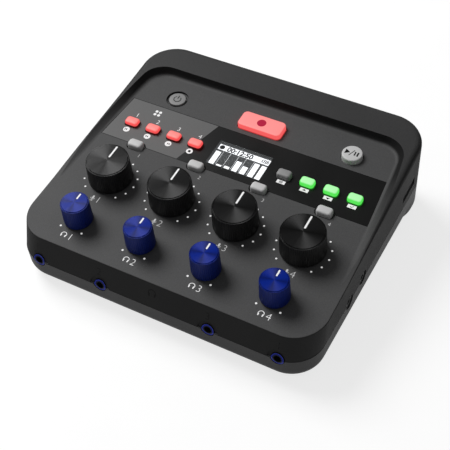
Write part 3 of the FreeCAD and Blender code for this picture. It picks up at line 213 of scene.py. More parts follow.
def makeLitCap():
    # Light that comes through a rubber key cap, the key's own backlight. Its top is made paler than the bevel by
    # which way the face points, which is painted light, and its foot dark, which is painted shade
    graph, given, result = newGroup(
        "litCap", [("Top", "Color"), ("Bevel", "Color"), ("Foot", "Color"), ("Foot Height", "Float")],
        [("Color", "Color"), ("Glow", "Color"), ("Roughness", "Float"), ("Height", "Float")])
    spot = graph.place()
    height = graph.split(spot)[2]
    facing = graph.split(graph.place("Normal"))[2]
    cloud = graph.noise(spot, 700.0, 2.0)
    lifted = graph.math("MULTIPLY_ADD", graph.math("SUBTRACT", cloud, 0.5), 0.12, facing)
    # A face that looks up gets the paler top colour: painted light
    upper = graph.blend(graph.ramp(lifted, 0.55, 0.97), given["Bevel"], given["Top"])
    # The foot colour low on the cap is painted shade
    foot = graph.ramp(height, given["Foot Height"], graph.math("ADD", given["Foot Height"], 0.0003))
    light = graph.blend(foot, given["Foot"], upper)
    graph.feed(result, "Glow", light)
    graph.feed(result, "Color", graph.blend(0.85, light, (0, 0, 0, 1)))
    graph.feed(result, "Roughness", graph.ramp(cloud, 0.3, 0.7, 0.42, 0.55))
    graph.feed(result, "Height", graph.noise(spot, 4000.0, 2.0))
    return graph.tree


def makeBrushed():
    # Drawn metal: long scratches along x, with brighter and duller streaks
    graph, given, result = newGroup(
        "brushed", [("Color", "Color"), ("Scale", "Float")],
        [("Color", "Color"), ("Roughness", "Float"), ("Height", "Float")])
    stretch = graph.add("ShaderNodeMapping")
    graph.feed(stretch, "Vector", graph.place())
    graph.feed(stretch, "Scale", (0.08, 1.0, 1.0))
    scratch = graph.noise(stretch.outputs[0], given["Scale"], 4.0)
    tint = graph.add("ShaderNodeVectorMath", operation="SCALE")
    graph.feed(tint, 0, given["Color"])
    graph.feed(tint, "Scale", graph.ramp(scratch, 0.2, 0.8, 0.82, 1.1))
    graph.feed(result, "Color", tint.outputs[0])
    graph.feed(result, "Roughness", graph.ramp(scratch, 0.2, 0.8, 0.24, 0.42))
    graph.feed(result, "Height", scratch)
    return graph.tree


def makeCircuit():
    # Solder mask with copper tracks under it and small bright pads
    graph, given, result = newGroup(
        "circuit", [("Mask", "Color"), ("Track", "Color"), ("Pad", "Color")],
        [("Color", "Color"), ("Roughness", "Float"), ("Metallic", "Float"), ("Height", "Float")])
    spot = graph.place()
    grid = graph.add("ShaderNodeTexBrick", offset=0.37, squash=0.6, squash_frequency=3)
    for socket, value in (("Vector", spot), ("Scale", 120.0), ("Mortar Size", 0.035), ("Bias", 0.0)):
        graph.feed(grid, socket, value)
    cells = graph.add("ShaderNodeTexVoronoi", feature="F1")
    graph.feed(cells, "Vector", spot)
    graph.feed(cells, "Scale", 380.0)
    pads = graph.math("LESS_THAN", cells.outputs["Distance"], 0.16)
    tracks = graph.blend(grid.outputs["Fac"], given["Mask"], given["Track"])
    graph.feed(result, "Color", graph.blend(pads, tracks, given["Pad"]))
    graph.feed(result, "Roughness", graph.ramp(pads, 0.0, 1.0, 0.38, 0.22))
    graph.feed(result, "Metallic", pads)
    graph.feed(result, "Height", graph.math("MAXIMUM", grid.outputs["Fac"], pads))
    return graph.tree


mouldedGrain = makeMouldedGrain()
spunFace = makeSpunFace()
litCap = makeLitCap()
brushed = makeBrushed()
circuit = makeCircuit()


def finish(name, outputs=None, bump=0.0, **settings):
    # A material with a Principled BSDF. outputs is a function that places a node group and returns its
    # outputs, and settings are values for the shader's own sockets
    material = bpy.data.materials.new(name)
    material.use_nodes = True
    graph = Graph(material.node_tree)
    shader = material.node_tree.nodes["Principled BSDF"]
    for socket, value in settings.items():
        graph.feed(shader, socket, value)
    if outputs:
        made = outputs(graph)
        for label, socket in (("Color", "Base Color"), ("Roughness", "Roughness"), ("Metallic", "Metallic")):
            if label in made:
                graph.feed(shader, socket, made[label])
        if bump:
            node = graph.add("ShaderNodeBump")
            graph.feed(node, "Height", made["Height"])
            node.inputs["Distance"].default_value = bump
            graph.feed(shader, "Normal", node.outputs[0])
    return material, graph, shader


def moulded(name, color, gloss, grainSize=0.00035, mottle=0.12, bump=0.00003, **settings):
    def grained(graph):
        return graph.use(mouldedGrain, color=(*color, 1), grainSize=grainSize, mottle=mottle, gloss=gloss)
    return finish(name, grained, bump, **settings)[0]


# The knob tops get painted shade fans, as deep as the third value says
def spun(name, color, fan, **settings):
    def turned(graph):
        return graph.use(spunFace, color=(*color, 1), pitch=0.00012, depth=0.5, fan=fan)
    material, graph, shader = finish(name, turned, 0.000004, **settings)
    around = graph.add("ShaderNodeTangent", direction_type="RADIAL", axis="Z")
    graph.feed(shader, "Tangent", around.outputs[0])
    return material


def metal(name, color):
    def drawn(graph):
        return graph.use(brushed, color=(*color, 1), scale=900.0)
    return finish(name, drawn, 0.000004, Metallic=1.0)[0]


# foot is the painted shade at the key's foot, and footHeight says where it ends
def lit(name, top, bevel, foot, footHeight, strength):
    def glowing(graph):
        made = graph.use(litCap, top=(*top, 1), bevel=(*bevel, 1), foot=(*foot, 1), footHeight=footHeight)
        shader = graph.tree.nodes["Principled BSDF"]
        graph.feed(shader, "Emission Color", made["Glow"])
        return made
    return finish(name, glowing, 0.00001, **{"Emission Strength": strength})[0]


def glow(name, color, strength, body=0.25):
    # Even light with a faint grain: the lit screen and the dot on the lit record key, and a painted glow on the
    # white and grey print
    def grained(graph):
        shine = graph.use(mouldedGrain, color=(*color, 1), grainSize=0.0002, mottle=0.1, gloss=0.5)
        graph.feed(graph.tree.nodes["Principled BSDF"], "Emission Color", shine["Color"])
        dim = [part * body for part in color]
        return graph.use(mouldedGrain, color=(*dim, 1), grainSize=0.0002, mottle=0.1, gloss=0.5)
    return finish(name, grained, 0.0, **{"Emission Strength": strength, "Specular IOR Level": 0.1})[0]


# The sunken panel is paler and duller than the raised rim. Faces that look up get these pale colours and the walls
# a far darker one, which is painted light on the tops and painted shade on the walls. The bands say over which
# height in metres, and over which slope, one look passes into the next
cover = {"panel": (0.082, 0.082, 0.083), "rim": (0.048, 0.048, 0.0485), "wall": (0.011, 0.011, 0.0112),
         "panelGloss": 0.5, "rimGloss": 0.4, "wallGloss": 0.68, "specular": 0.13,
         "grainSize": 0.00045, "mottle": 0.7, "bump": 0.00006, "floorBand": (0.0003, 0.0016),
         "levelBand": (0.7, 0.97),
         "base": (0.028, 0.028, 0.0285), "baseGloss": 0.5}
coverGrain = {"grainSize": cover["grainSize"], "mottle": cover["mottle"]}
coverShine = {"Specular IOR Level": cover["specular"]}


def makeCoverFinish():
    def grained(graph):
        above = graph.add("ShaderNodeVectorMath", operation="SUBTRACT")
        graph.feed(above, 0, graph.place())
        graph.feed(above, 1, panel.translation)
        height = graph.add("ShaderNodeVectorMath", operation="DOT_PRODUCT")
        graph.feed(height, 0, above.outputs[0])
        graph.feed(height, 1, panelUp)
        facing = graph.add("ShaderNodeVectorMath", operation="DOT_PRODUCT")
        graph.feed(facing, 0, graph.place("Normal"))
        graph.feed(facing, 1, panelUp)
        low = graph.ramp(height.outputs["Value"], *cover["floorBand"], 1.0, 0.0)
        level = graph.ramp(facing.outputs["Value"], *cover["levelBand"])
        upper = graph.blend(low, (*cover["rim"], 1), (*cover["panel"], 1))
        # Walls, which face away from the panel's up, take the wall colour: painted shade
        color = graph.blend(level, (*cover["wall"], 1), upper)
        flatGloss = graph.ramp(low, 0.0, 1.0, cover["rimGloss"], cover["panelGloss"])
        gloss = graph.ramp(level, 0.0, 1.0, cover["wallGloss"], flatGloss)
        return graph.use(mouldedGrain, color=color, gloss=gloss, **coverGrain)
    return finish("casePlastic", grained, cover["bump"], **coverShine)[0]


casePlastic = makeCoverFinish()
basePlastic = moulded("basePlastic", cover["base"], cover["baseGloss"], bump=cover["bump"], **coverGrain,
                      **coverShine)
matt = {"Specular IOR Level": 0.08}
knobSide = moulded("knobSide", (0.004, 0.004, 0.004), 0.42)
# The black and blue knob tops carry painted shade fans
knobTop = spun("knobTop", (0.016, 0.016, 0.0162), 0.75, Metallic=0.7, Anisotropic=0.8)
# The blue sides are a darker copy of the top's blue: painted shade of the sides
blueSide = moulded("blueSide", (0.003, 0.011, 0.11), 0.45, **{"Specular IOR Level": 0.2})
blueTop = spun("blueTop", (0.002, 0.020, 0.28), 0.5, Metallic=0.05, Anisotropic=0.8,
               **{"Specular IOR Level": 0.12})
# The third colour of each lit key is the painted shade at its foot
redLit = lit("redLit", (1.0, 0.24, 0.22), (1.0, 0.085, 0.085), (0.035, 0.002, 0.002), 0.0009, 0.9)
recordLit = lit("recordLit", (1.0, 0.27, 0.26), (1.0, 0.125, 0.125), (0.6, 0.04, 0.04), 0.0, 0.9)
greenLit = lit("greenLit", (0.44, 1.0, 0.44), (0.10, 0.90, 0.10), (0.01, 0.16, 0.01), 0.0002, 0.85)
greyKey = moulded("greyKey", (0.63, 0.63, 0.63), 0.5, mottle=0.06)
menuKey = moulded("menuKey", (0.29, 0.29, 0.29), 0.5, mottle=0.06)
powerKey = moulded("powerKey", (0.24, 0.24, 0.24), 0.5, mottle=0.06)
# The white and grey print glows: painted light, so that it shows evenly
whiteInk = glow("whiteInk", (0.85, 0.85, 0.85), 0.55, 0.6)
softInk = glow("softInk", (0.55, 0.55, 0.55), 0.5, 0.6)
blackInk = moulded("blackInk", (0.004, 0.004, 0.004), 0.5, **matt)
greyInk = moulded("greyInk", (0.02, 0.02, 0.02), 0.5, **matt)
recordInk = glow("recordInk", (0.48, 0.013, 0.052), 0.75)
# Near black for the gap round the inlay, the mute key slots and the engraving: painted shade
carved = moulded("carved", (0.003, 0.003, 0.003), 0.6, **matt)
ringBlue = moulded("ringBlue", (0.010, 0.024, 0.34), 0.4, **matt)
# The blue of the jack rings, darkened as painted shade for the slope into the bore
ringNavy = moulded("ringNavy", (0.005, 0.010, 0.09), 0.5, **matt)
boreBlack = moulded("boreBlack", (0.002, 0.002, 0.002), 0.6, **matt)
socketBlack = moulded("socketBlack", (0.010, 0.010, 0.010), 0.45)
rubber = moulded("rubber", (0.015, 0.015, 0.015), 0.85, grainSize=0.0006, bump=0.00006)
housing = moulded("housing", (0.02, 0.02, 0.02), 0.6)
plug = moulded("plug", (0.55, 0.52, 0.45), 0.5)
steel = metal("steel", (0.55, 0.55, 0.56))
nickel = metal("nickel", (0.66, 0.65, 0.62))
darkMetal = metal("darkMetal", (0.22, 0.22, 0.23))
brass = metal("brass", (0.75, 0.56, 0.25))
screen = glow("screen", (0.075, 0.078, 0.08), 0.85)
pixels = glow("pixels", (0.95, 0.96, 0.98), 1.4)
blankPixels = glow("blankPixels", (0.02, 0.02, 0.02), 0.6)


def makeBoardFinish():
    def tracks(graph):
        mask, track, pad = (0.004, 0.06, 0.025, 1), (0.02, 0.16, 0.06, 1), (0.75, 0.70, 0.55, 1)
        return graph.use(circuit, mask=mask, track=track, pad=pad)
    return finish("boardFinish", tracks, 0.00002)[0]


def makeGlass():
    material, graph, shader = finish("windowGlass", IOR=1.5, **{"Transmission Weight": 1.0})
    haze = graph.noise(graph.place(), 60.0, 3.0)
    graph.feed(shader, "Base Color", graph.blend(haze, (0.90, 0.91, 0.92, 1), (0.96, 0.97, 0.98, 1)))
    graph.feed(shader, "Roughness", graph.ramp(haze, 0.3, 0.7, 0.02, 0.05))
    return material


def makeCellWrap():
    # Battery sleeve: dark body with a copper-coloured shoulder, by the length of the cell
    material, graph, shader = finish("cellWrap", Metallic=0.3)
    spot = graph.place()
    bands = graph.add("ShaderNodeTexWave", bands_direction="X")
    graph.feed(bands, "Vector", spot)
    graph.feed(bands, "Scale", 6.0)
    shoulder = graph.math("GREATER_THAN", bands.outputs["Fac"], 0.7)
    graph.feed(shader, "Base Color", graph.blend(shoulder, (0.015, 0.015, 0.017, 1), (0.45, 0.20, 0.08, 1)))
    graph.feed(shader, "Roughness", graph.ramp(graph.noise(spot, 300.0), 0.3, 0.7, 0.28, 0.4))
    return material


# The inlay is printed in two greys that meet along a slanted line
inlay = {"lineBack": (-21.3, 55.0), "lineFront": (-30.1, 25.9), "specular": 0.25,
         "left": (0.13, 0.13, 0.13), "right": (0.005, 0.005, 0.005), "leftGloss": 0.5, "rightGloss": 0.32}


def makeInlayFinish():
    def printed(graph):
        back = shifted(*inlay["lineBack"]).translation
        front = shifted(*inlay["lineFront"]).translation
        along = back - front
        side = Vector((along.y, -along.x, 0)).normalized()  # points right across the line
        x, y = graph.split(graph.place())[:2]
        reach = graph.math("ADD", graph.math("MULTIPLY", x, side.x), graph.math("MULTIPLY", y, side.y))
        right = graph.math("GREATER_THAN", reach, side.dot(front))
        color = graph.blend(right, (*inlay["left"], 1), (*inlay["right"], 1))
        gloss = graph.ramp(right, 0.0, 1.0, inlay["leftGloss"], inlay["rightGloss"])
        return graph.use(mouldedGrain, color=color, grainSize=0.0005, mottle=0.3, gloss=gloss)
    return finish("inlayFinish", printed, 0.00001, **{"Specular IOR Level": inlay["specular"]})[0]


boardFinish = makeBoardFinish()
windowGlass = makeGlass()
cellWrap = makeCellWrap()
inlayFinish = makeInlayFinish()

nodeFinishes = {
    "top_cover": casePlastic, "bottom_cover": basePlastic, "battery_door": basePlastic,
    "panel_overlay": inlayFinish, "display_lens": windowGlass, "display_module": housing,
    "main_board": boardFinish, "rear_board": boardFinish, "side_board": boardFinish,
    "board_links": plug, "gain_controls": darkMetal, "phones_controls": darkMetal,
    "key_switches": darkMetal, "phones_jacks": boreBlack, "side_jacks": socketBlack,
    "usb_port": nickel, "mic_inserts": socketBlack, "card_socket": steel, "batteries": cellWrap,
    "battery_contacts": nickel, "feet": rubber, "case_screws": darkMetal, "board_screws": steel}
for name, node in nodes.items():
    made = nodeFinishes.get(name)
    if made is None and "shaft" in name:
        made = steel
    if made is None and "mic_socket" in name:
        made = socketBlack
    for place in node.material_slots:
        place.material = made or housing
print("finishes on the CAD nodes done")


# Ways to make the pieces' meshes, in millimetres


def addPiece(name, mesh, finishes, body, where=panel, sharp=32):
    # mesh is a bmesh in millimetres in the frame "where"
    bmesh.ops.scale(mesh, vec=(mm, mm, mm), verts=mesh.verts)
    data = bpy.data.meshes.new(name)
    mesh.to_mesh(data)
    mesh.free()
    for finishUsed in finishes if isinstance(finishes, (list, tuple)) else [finishes]:
        data.materials.append(finishUsed)
    data.shade_smooth()
    data.set_sharp_from_angle(angle=math.radians(sharp))
    piece = bpy.data.objects.new(name, data)
    scene.collection.objects.link(piece)
    piece.matrix_world = where
    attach(piece, body)
    return piece


def roundedRing(halfX, halfY, corner, z, steps=8):
    # Rounded rectangle, or a circle where both halves equal the corner's radius
    points = []
    for quarter, (signX, signY) in enumerate(((1, 1), (-1, 1), (-1, -1), (1, -1))):
        for k in range(steps):
            angle = math.radians(90 * (quarter + (k + 0.5) / steps))
            points.append(Vector((signX * (halfX - corner) + corner * math.cos(angle),
                                  signY * (halfY - corner) + corner * math.sin(angle), z)))
    return points


def circleRing(radius, z, steps=8):
    return roundedRing(radius, radius, radius, z, steps)


def loft(rings, bands=None, closed=False):
    # Skin through rings of equal point counts; bands gives each stretch's material number
    mesh = bmesh.new()
    rows = [[mesh.verts.new(point) for point in ring] for ring in rings]
    pairs = list(zip(rows, rows[1:] + rows[:1])) if closed else list(zip(rows, rows[1:]))
    for k, (below, above) in enumerate(pairs):
        for j in range(len(below)):
            face = mesh.faces.new((below[j - 1], below[j], above[j], above[j - 1]))
            face.material_index = bands[k] if bands else 0
    if not closed:
        mesh.faces.new(rows[0]).material_index = bands[0] if bands else 0
        mesh.faces.new(rows[-1]).material_index = bands[-1] if bands else 0
    bmesh.ops.recalc_face_normals(mesh, faces=mesh.faces[:])
    return mesh


def turned(profile, steps, ridges=None, bands=None, closed=False):
    # Turned solid from (radius, z) points; ridges maps a point's number to its knurl depth.
    # Every groove of the knurl takes two of four steps
    rings = []
    for number, (radius, z) in enumerate(profile):
        depth = ridges.get(number, 0) if ridges else 0
        ring = []
        for k in range(steps):
            angle = 2 * math.pi * k / steps
            reach = radius - (depth if k % 4 in (0, 3) else 0)
            ring.append(Vector((reach * math.cos(angle), reach * math.sin(angle), z)))
        rings.append(ring)
    return loft(rings, bands, closed)


class Flat:
    # Flat shapes in millimetres, thickened into thin solids at the end
    def __init__(self):
        self.mesh = bmesh.new()

    def outline(self, points):
        self.mesh.faces.new([self.mesh.verts.new((x, y, 0)) for x, y in points])

    def bar(self, x, y, width, height, corner=0.0):
        if corner:
            self.outline([(x + p.x, y + p.y) for p in roundedRing(width / 2, height / 2, corner, 0, 4)])
        else:
            a, b = width / 2, height / 2
            self.outline([(x - a, y - b), (x + a, y - b), (x + a, y + b), (x - a, y + b)])

    def disc(self, x, y, radius, steps=7):
        self.outline([(x + p.x, y + p.y) for p in circleRing(radius, 0, steps)])

    def arc(self, x, y, radius, width, start=0, end=360, steps=28):
        turns = [math.radians(start + (end - start) * k / steps) for k in range(steps + 1)]
        whole = abs(end - start) == 360
        rows = []
        for r in (radius + width / 2, radius - width / 2):
            spots = [(x + r * math.cos(turn), y + r * math.sin(turn), 0) for turn in turns]
            row = [self.mesh.verts.new(spot) for spot in spots[:-1]]
            row.append(row[0] if whole else self.mesh.verts.new(spots[-1]))
            rows.append(row)
        for k in range(steps):
            self.mesh.faces.new((rows[0][k], rows[0][k + 1], rows[1][k + 1], rows[1][k]))

    def stroke(self, points, width):
        # A line of even width through points, with mitred corners
        spots = [Vector(p) for p in points]
        rails = []
        for k, spot in enumerate(spots):
            before = (spot - spots[k - 1]).normalized() if k else None
            after = (spots[k + 1] - spot).normalized() if k + 1 < len(spots) else None
            run = ((before or after) + (after or before)).normalized()
            side = Vector((-run.y, run.x))
            spread = width / 2 / max(0.4, side.dot(Vector((-(before or after).y, (before or after).x))))
            rails.append([self.mesh.verts.new((*(spot + side * spread * s), 0)) for s in (1, -1)])
        for first, second in zip(rails, rails[1:]):
            self.mesh.faces.new((first[0], first[1], second[1], second[0]))

    def figures(self, text, x, y, height, weight):
        curve = bpy.data.curves.new("figures", "FONT")
        curve.body = text
        curve.offset = weight
        curve.resolution_u = 4
        holder = bpy.data.objects.new("figures", curve)
        data = bpy.data.meshes.new_from_object(holder)
        bpy.data.objects.remove(holder)
        low = [min(v.co[k] for v in data.vertices) for k in (0, 1)]
        high = [max(v.co[k] for v in data.vertices) for k in (0, 1)]
        scale = height / (high[1] - low[1])
        for v in data.vertices:
            up = (v.co.y - (low[1] + high[1]) / 2) * scale
            across = (v.co.x - (low[0] + high[0]) / 2) * scale
            v.co = (x + across, y + up, 0)
        self.mesh.from_mesh(data)
        bpy.data.meshes.remove(data)

    def solid(self, low, high):
        mesh = self.mesh
        bmesh.ops.remove_doubles(mesh, verts=mesh.verts[:], dist=0.001)
        bmesh.ops.translate(mesh, vec=(0, 0, low), verts=mesh.verts[:])
        made = bmesh.ops.extrude_face_region(mesh, geom=mesh.faces[:], use_keep_orig=True)["geom"]
        lifted = [part for part in made if isinstance(part, bmesh.types.BMVert)]
        bmesh.ops.translate(mesh, vec=(0, 0, high - low), verts=lifted)
        bmesh.ops.recalc_face_normals(mesh, faces=mesh.faces[:])
        return mesh

    def pressedOn(self, tree, where, lift, sink):
        # Lays the shapes on a wall that lies along the frame's own -z; the mesh is then in the row frame
        aim = -(where.to_3x3() @ Vector((0, 0, 1)))
        mesh = self.solid(0, lift + sink)
        for v in mesh.verts:
            start = where @ (Vector((v.co.x, v.co.y, 0)) * mm)
            hit = tree.ray_cast(start, aim)
            reach = -hit[3] / mm if hit[3] is not None else 0.0
            v.co.z = reach + (lift if v.co.z > 0 else -sink)
            v.co = where @ (v.co * mm) / mm
        return mesh


def surfaceOf(node):
    data = nodes[node].data
    return BVHTree.FromPolygons([v.co for v in data.vertices], [p.vertices for p in data.polygons])


coverSurface = surfaceOf("top_cover")


# Knobs

knobs = {
    "gain": {"row": gainRow, "ridges": 72, "ridgeDepth": 0.2, "topShare": 0.965, "rim": 0.55,
             "crevice": 0.22, "step": 0.3, "line": (1.8, 9.9, 0.95), "roof": 1.8, "hubWall": 1.6,
             "hubRise": 1.2, "skirt": 1.6, "side": knobSide, "face": knobTop, "slot": "knob_black"},
    "phones": {"row": phonesRow, "ridges": 48, "ridgeDepth": 0.16, "topShare": 0.966, "rim": 0.45,
               "crevice": 0.2, "step": 0.3, "line": (2.2, 5.9, 0.85), "roof": 1.8, "hubWall": 1.4,
               "hubRise": 1.2, "skirt": 1.4, "side": blueSide, "face": blueTop, "slot": "knob_blue"}}
# The edges that all knobs share, as steps in from the side and up from the foot or down from the ledge
knobEdges = {"core": 0.4, "boreGap": 0.02, "foot": ((0.5, 0.0), (0.12, 0.25), (0.0, 0.6)),
             "shoulder": ((0.0, 0.35), (0.08, 0.08), (0.2, 0.0)), "creviceLean": 0.04, "creviceDepth": 0.4,
             "bevel": 0.12, "lineSink": 0.05, "lineLift": 0.02}


def makeKnob(kind, number):
    use = knobs[kind]
    node = f"{kind}_knob_{number}"
    where = Matrix.Translation(use["row"][number - 1]) @ panelTurn
    low, high = panelBox(node)
    shaftLow, shaftHigh = panelBox(f"{kind}_shaft_{number}")
    radius, bottom, top = (high.x - low.x) / 2, low.z, high.z
    core, bevel, lean = knobEdges["core"], knobEdges["bevel"], knobEdges["creviceLean"]
    bore = (shaftHigh.x - shaftLow.x) / 2 + knobEdges["boreGap"]
    hub = bore + use["hubWall"]
    hubFoot = bottom + use["hubRise"]
    roof = top - use["roof"]
    skirt = radius - use["skirt"]
    upper = radius * use["topShare"]
    ledge = top - use["step"]
    disc = upper - use["rim"]
    edge = disc - use["crevice"]
    trench = ledge - knobEdges["creviceDepth"]
    inside = [(core, roof), (bore, roof), (bore, hubFoot), (hub, hubFoot), (hub, roof), (skirt, roof),
              (skirt, bottom)]
    outside = [(radius - inset, bottom + rise) for inset, rise in knobEdges["foot"]]
    shoulder = [(upper - inset, ledge - fall) for inset, fall in knobEdges["shoulder"]]
    face = [(disc, ledge), (disc - lean, trench), (edge, trench), (edge, top - bevel), (edge - bevel, top),
            (core, top)]
    profile = inside + outside + shoulder + face
    # The knurl runs from the top of the foot's rounding to the shoulder
    wall = len(inside + outside)
    knurl = {wall - 1: use["ridgeDepth"], wall: use["ridgeDepth"]}
    # The ledge and the disc are turned bright, the rest is moulded
    bright = (wall + len(shoulder) - 1, len(profile) - 3, len(profile) - 2)
    bands = [int(k in bright) for k in range(len(profile) - 1)]
    mesh = turned(profile, use["ridges"] * 4, knurl, bands)
    piece = addPiece(f"{node}.shell", mesh, [use["side"], use["face"]], node, where)
    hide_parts(node)
    inner, outer, width = use["line"]
    line = Flat()
    line.bar(0, (inner + outer) / 2, width, outer - inner, width / 2 - 0.01)
    mesh = line.solid(top - knobEdges["lineSink"], top + knobEdges["lineLift"])
    addPiece(f"{node}.pointer", mesh, whiteInk, node, where)


for number in (1, 2, 3, 4):
    makeKnob("gain", number)
    makeKnob("phones", number)
print("knobs done")


# Keys

keyShape = {"flange": 1.0, "flangeHigh": -2.35, "draft": 0.12, "crown": 0.12, "edgeSteps": 5,
            "cornerShare": 0.75, "leastCorner": 0.35, "crownRings": (0.7, 0.4, 0.1), "crownCorner": 0.5,
            "markSink": 0.25, "markLift": 0.01}
keyKinds = {
    "small": {"corner": 1.7, "edge": 1.15},
    "mute": {"corner": 1.8, "edge": 1.2},
    "record": {"corner": 2.6, "edge": 0.75},
    "play": {"corner": 0, "edge": 0.7},
    "power": {"corner": 0, "edge": 0.35}}
keyNodes = {
    **{f"sound_pad_{n}": ("small", redLit, "pad_red") for n in (1, 2, 3, 4)},
    **{f"mute_button_{n}": ("mute", greyKey, "key_grey") for n in (1, 2, 3, 4)},
    **{f"mode_button_{n}": ("small", greenLit, "key_green") for n in (1, 2, 3)},
    "menu_button": ("small", menuKey, "key_grey"),
    "record_button": ("record", recordLit, "pad_red"),
    "play_button": ("play", greyKey, "key_grey"),
    "power_button": ("power", powerKey, "key_dark")}


def makeKey(node):
    kind, made, slotName = keyNodes[node]
    use = keyKinds[kind]
    low, high = panelBox(node)
    middle = (low + high) / 2
    wide = keyShape["flange"]
    halfX = (high.x - low.x) / 2 - wide
    halfY = (high.y - low.y) / 2 - wide
    corner = use["corner"] or halfX
    steps = 8 if use["corner"] else 14
    top = high.z - keyShape["crown"]
    rings = []
    for z in (low.z, keyShape["flangeHigh"]):
        rings.append(roundedRing(halfX + wide, halfY + wide, corner + wide, z, steps))
    rings.append(roundedRing(halfX, halfY, corner, keyShape["flangeHigh"], steps))
    for k in range(keyShape["edgeSteps"] + 1):
        turn = math.radians(90 * k / keyShape["edgeSteps"])
        inset = keyShape["draft"] + use["edge"] * (1 - math.cos(turn))
        rounding = corner - inset
        if use["corner"]:
            rounding = max(corner - inset * keyShape["cornerShare"], keyShape["leastCorner"])
        z = top - use["edge"] * (1 - math.sin(turn))
        rings.append(roundedRing(halfX - inset, halfY - inset, rounding, z, steps))
    # The top swells a little towards its middle
    inset = keyShape["draft"] + use["edge"]
    for share in keyShape["crownRings"]:
        sizeX, sizeY = (halfX - inset) * share, (halfY - inset) * share
        rounding = min(sizeX, sizeY) * (keyShape["crownCorner"] if use["corner"] else 1)
        rings.append(roundedRing(sizeX, sizeY, rounding, top + keyShape["crown"] * (1 - share ** 2), steps))
    piece = addPiece(f"{node}.cap", loft(rings), made, node, shifted(middle.x, middle.y))
    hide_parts(node)


for node in keyNodes:
    makeKey(node)


def keyMark(node, name, shape, made):
    middle, top = middleOf(node), panelBox(node)[1].z
    mesh = shape.solid(top - keyShape["markSink"], top + keyShape["markLift"])
    addPiece(f"{node}.{name}", mesh, made, node, shifted(middle.x, middle.y))


keyMarks = {"dot": 2.5, "triangle": ((-3.8, -1.55), (-1.1, 0), (-3.8, 1.55)),
            "slash": ((-1.1, -2.1), (0.6, 2.1)), "slashWidth": 0.42, "pauseAt": (1.5, 3.0),
            "pauseBar": (0.75, 2.7), "powerArc": (0, -0.1, 1.95, 0.48, 125, 415),
            "powerBar": (0, 1.45, 0.48, 2.4)}
dot = Flat()
dot.disc(0, 0, keyMarks["dot"], 10)
keyMark("record_button", "dot", dot, recordInk)

playMark = Flat()
playMark.outline(keyMarks["triangle"])
playMark.stroke(keyMarks["slash"], keyMarks["slashWidth"])
for x in keyMarks["pauseAt"]:
    playMark.bar(x, 0, *keyMarks["pauseBar"])
keyMark("play_button", "glyph", playMark, blackInk)

powerMark = Flat()
powerMark.arc(*keyMarks["powerArc"])
powerMark.bar(*keyMarks["powerBar"])
keyMark("power_button", "glyph", powerMark, greyInk)
print("keys done")


# Print on the panel and the inlay

printLayer = (-0.02, 0.02)  # from just under the surface to just over it


def headphones(shape, x, y, size=1.0):
    # Head band with two ear cups
    shape.arc(x, y, 1.45 * size, 0.34 * size, -22, 202, 22)
    for side in (-1, 1):
        shape.bar(x + side * 1.12 * size, y - 0.72 * size, 0.62 * size, 1.35 * size, 0.22 * size)


def microphone(shape, x, y, size=1.0):
    # Capsule in its cradle, on a short stem
    shape.bar(x, y + 0.75 * size, 1.0 * size, 2.1 * size, 0.49 * size)
    shape.arc(x, y + 0.35 * size, 1.05 * size, 0.26 * size, 180, 360, 14)
    shape.bar(x, y - 1.1 * size, 0.26 * size, 0.75 * size)
    shape.bar(x, y - 1.55 * size, 1.5 * size, 0.26 * size)


dial = {"gainRing": 13.8, "phonesRing": 9.34, "sweep": 139, "dots": 13, "dot": 0.5, "phonesDot": 0.55,
        "phonesSign": (-1.6, -41.3), "phonesFigure": (2.3, -41.4), "micSign": (-1.4, -15.5),
        "micFigure": (1.9, -15.4), "muteFigure": (5.0, 19.1), "figure": 3.7, "smallFigure": 2.1,
        "thinner": -0.018, "smallThinner": -0.012}
panelPrint = Flat()
softPrint = Flat()


def dialDot(x, y, ring, share, radius):
    # share runs from -1 to 1 along the sweep
    turn = math.radians(dial["sweep"] * share)
    panelPrint.disc(x + ring * math.sin(turn), y + ring * math.cos(turn), radius, steps=4)


for number, x in enumerate(channels, 1):
    for k in range(dial["dots"]):
        dialDot(x, 0, dial["gainRing"], 2 * k / (dial["dots"] - 1) - 1, dial["dot"])
    for side in (-1, 1):
        dialDot(x, phonesY, dial["phonesRing"], side, dial["phonesDot"])
    signX, signY = dial["phonesSign"]
    headphones(panelPrint, x + signX, signY)
    signX, signY = dial["micSign"]
    microphone(softPrint, x + signX, signY)
    for shape, spot in ((panelPrint, "phonesFigure"), (softPrint, "micFigure")):
        figureX, figureY = dial[spot]
        shape.figures(str(number), x + figureX, figureY, dial["figure"], dial["thinner"])
    figureX, figureY = dial["muteFigure"]
    softPrint.figures(str(number), x + figureX, figureY, dial["smallFigure"], dial["smallThinner"])
addPiece("panel_print", panelPrint.solid(*printLayer), whiteInk, "case")
addPiece("panel_figures", softPrint.solid(*printLayer), softInk, "case")

# Dark line round the inlay, painted shadow of its sunken edge, and a dark lip in the slot round each mute key,
# painted shade of the slot
joint = {"width": 0.28, "layer": (-0.05, 0.012), "slotX": 5.3, "slotY": 3.3, "slotCorner": 3.15,
         "slotLip": 0.35, "slotTop": -0.02, "slotInside": -0.3, "slotFloor": -0.38, "slotBevel": 0.06}
overlayLow, overlayHigh = panelBox("panel_overlay")
overlayEdge = [panel.inverted() @ v.co / mm for v in nodes["panel_overlay"].data.vertices]
frontHalf = max(v.x for v in overlayEdge if v.y < overlayLow.y + 0.2)
backHalf = max(v.x for v in overlayEdge if v.y > overlayHigh.y - 0.2)
border = [(-frontHalf, overlayLow.y), (frontHalf, overlayLow.y), (backHalf, overlayHigh.y),
          (-backHalf, overlayHigh.y)]
jointLines = Flat()
for first, second in zip(border, border[1:] + border[:1]):
    jointLines.stroke([first, second], joint["width"])
addPiece("inlay_joint", jointLines.solid(*joint["layer"]), carved, "case")


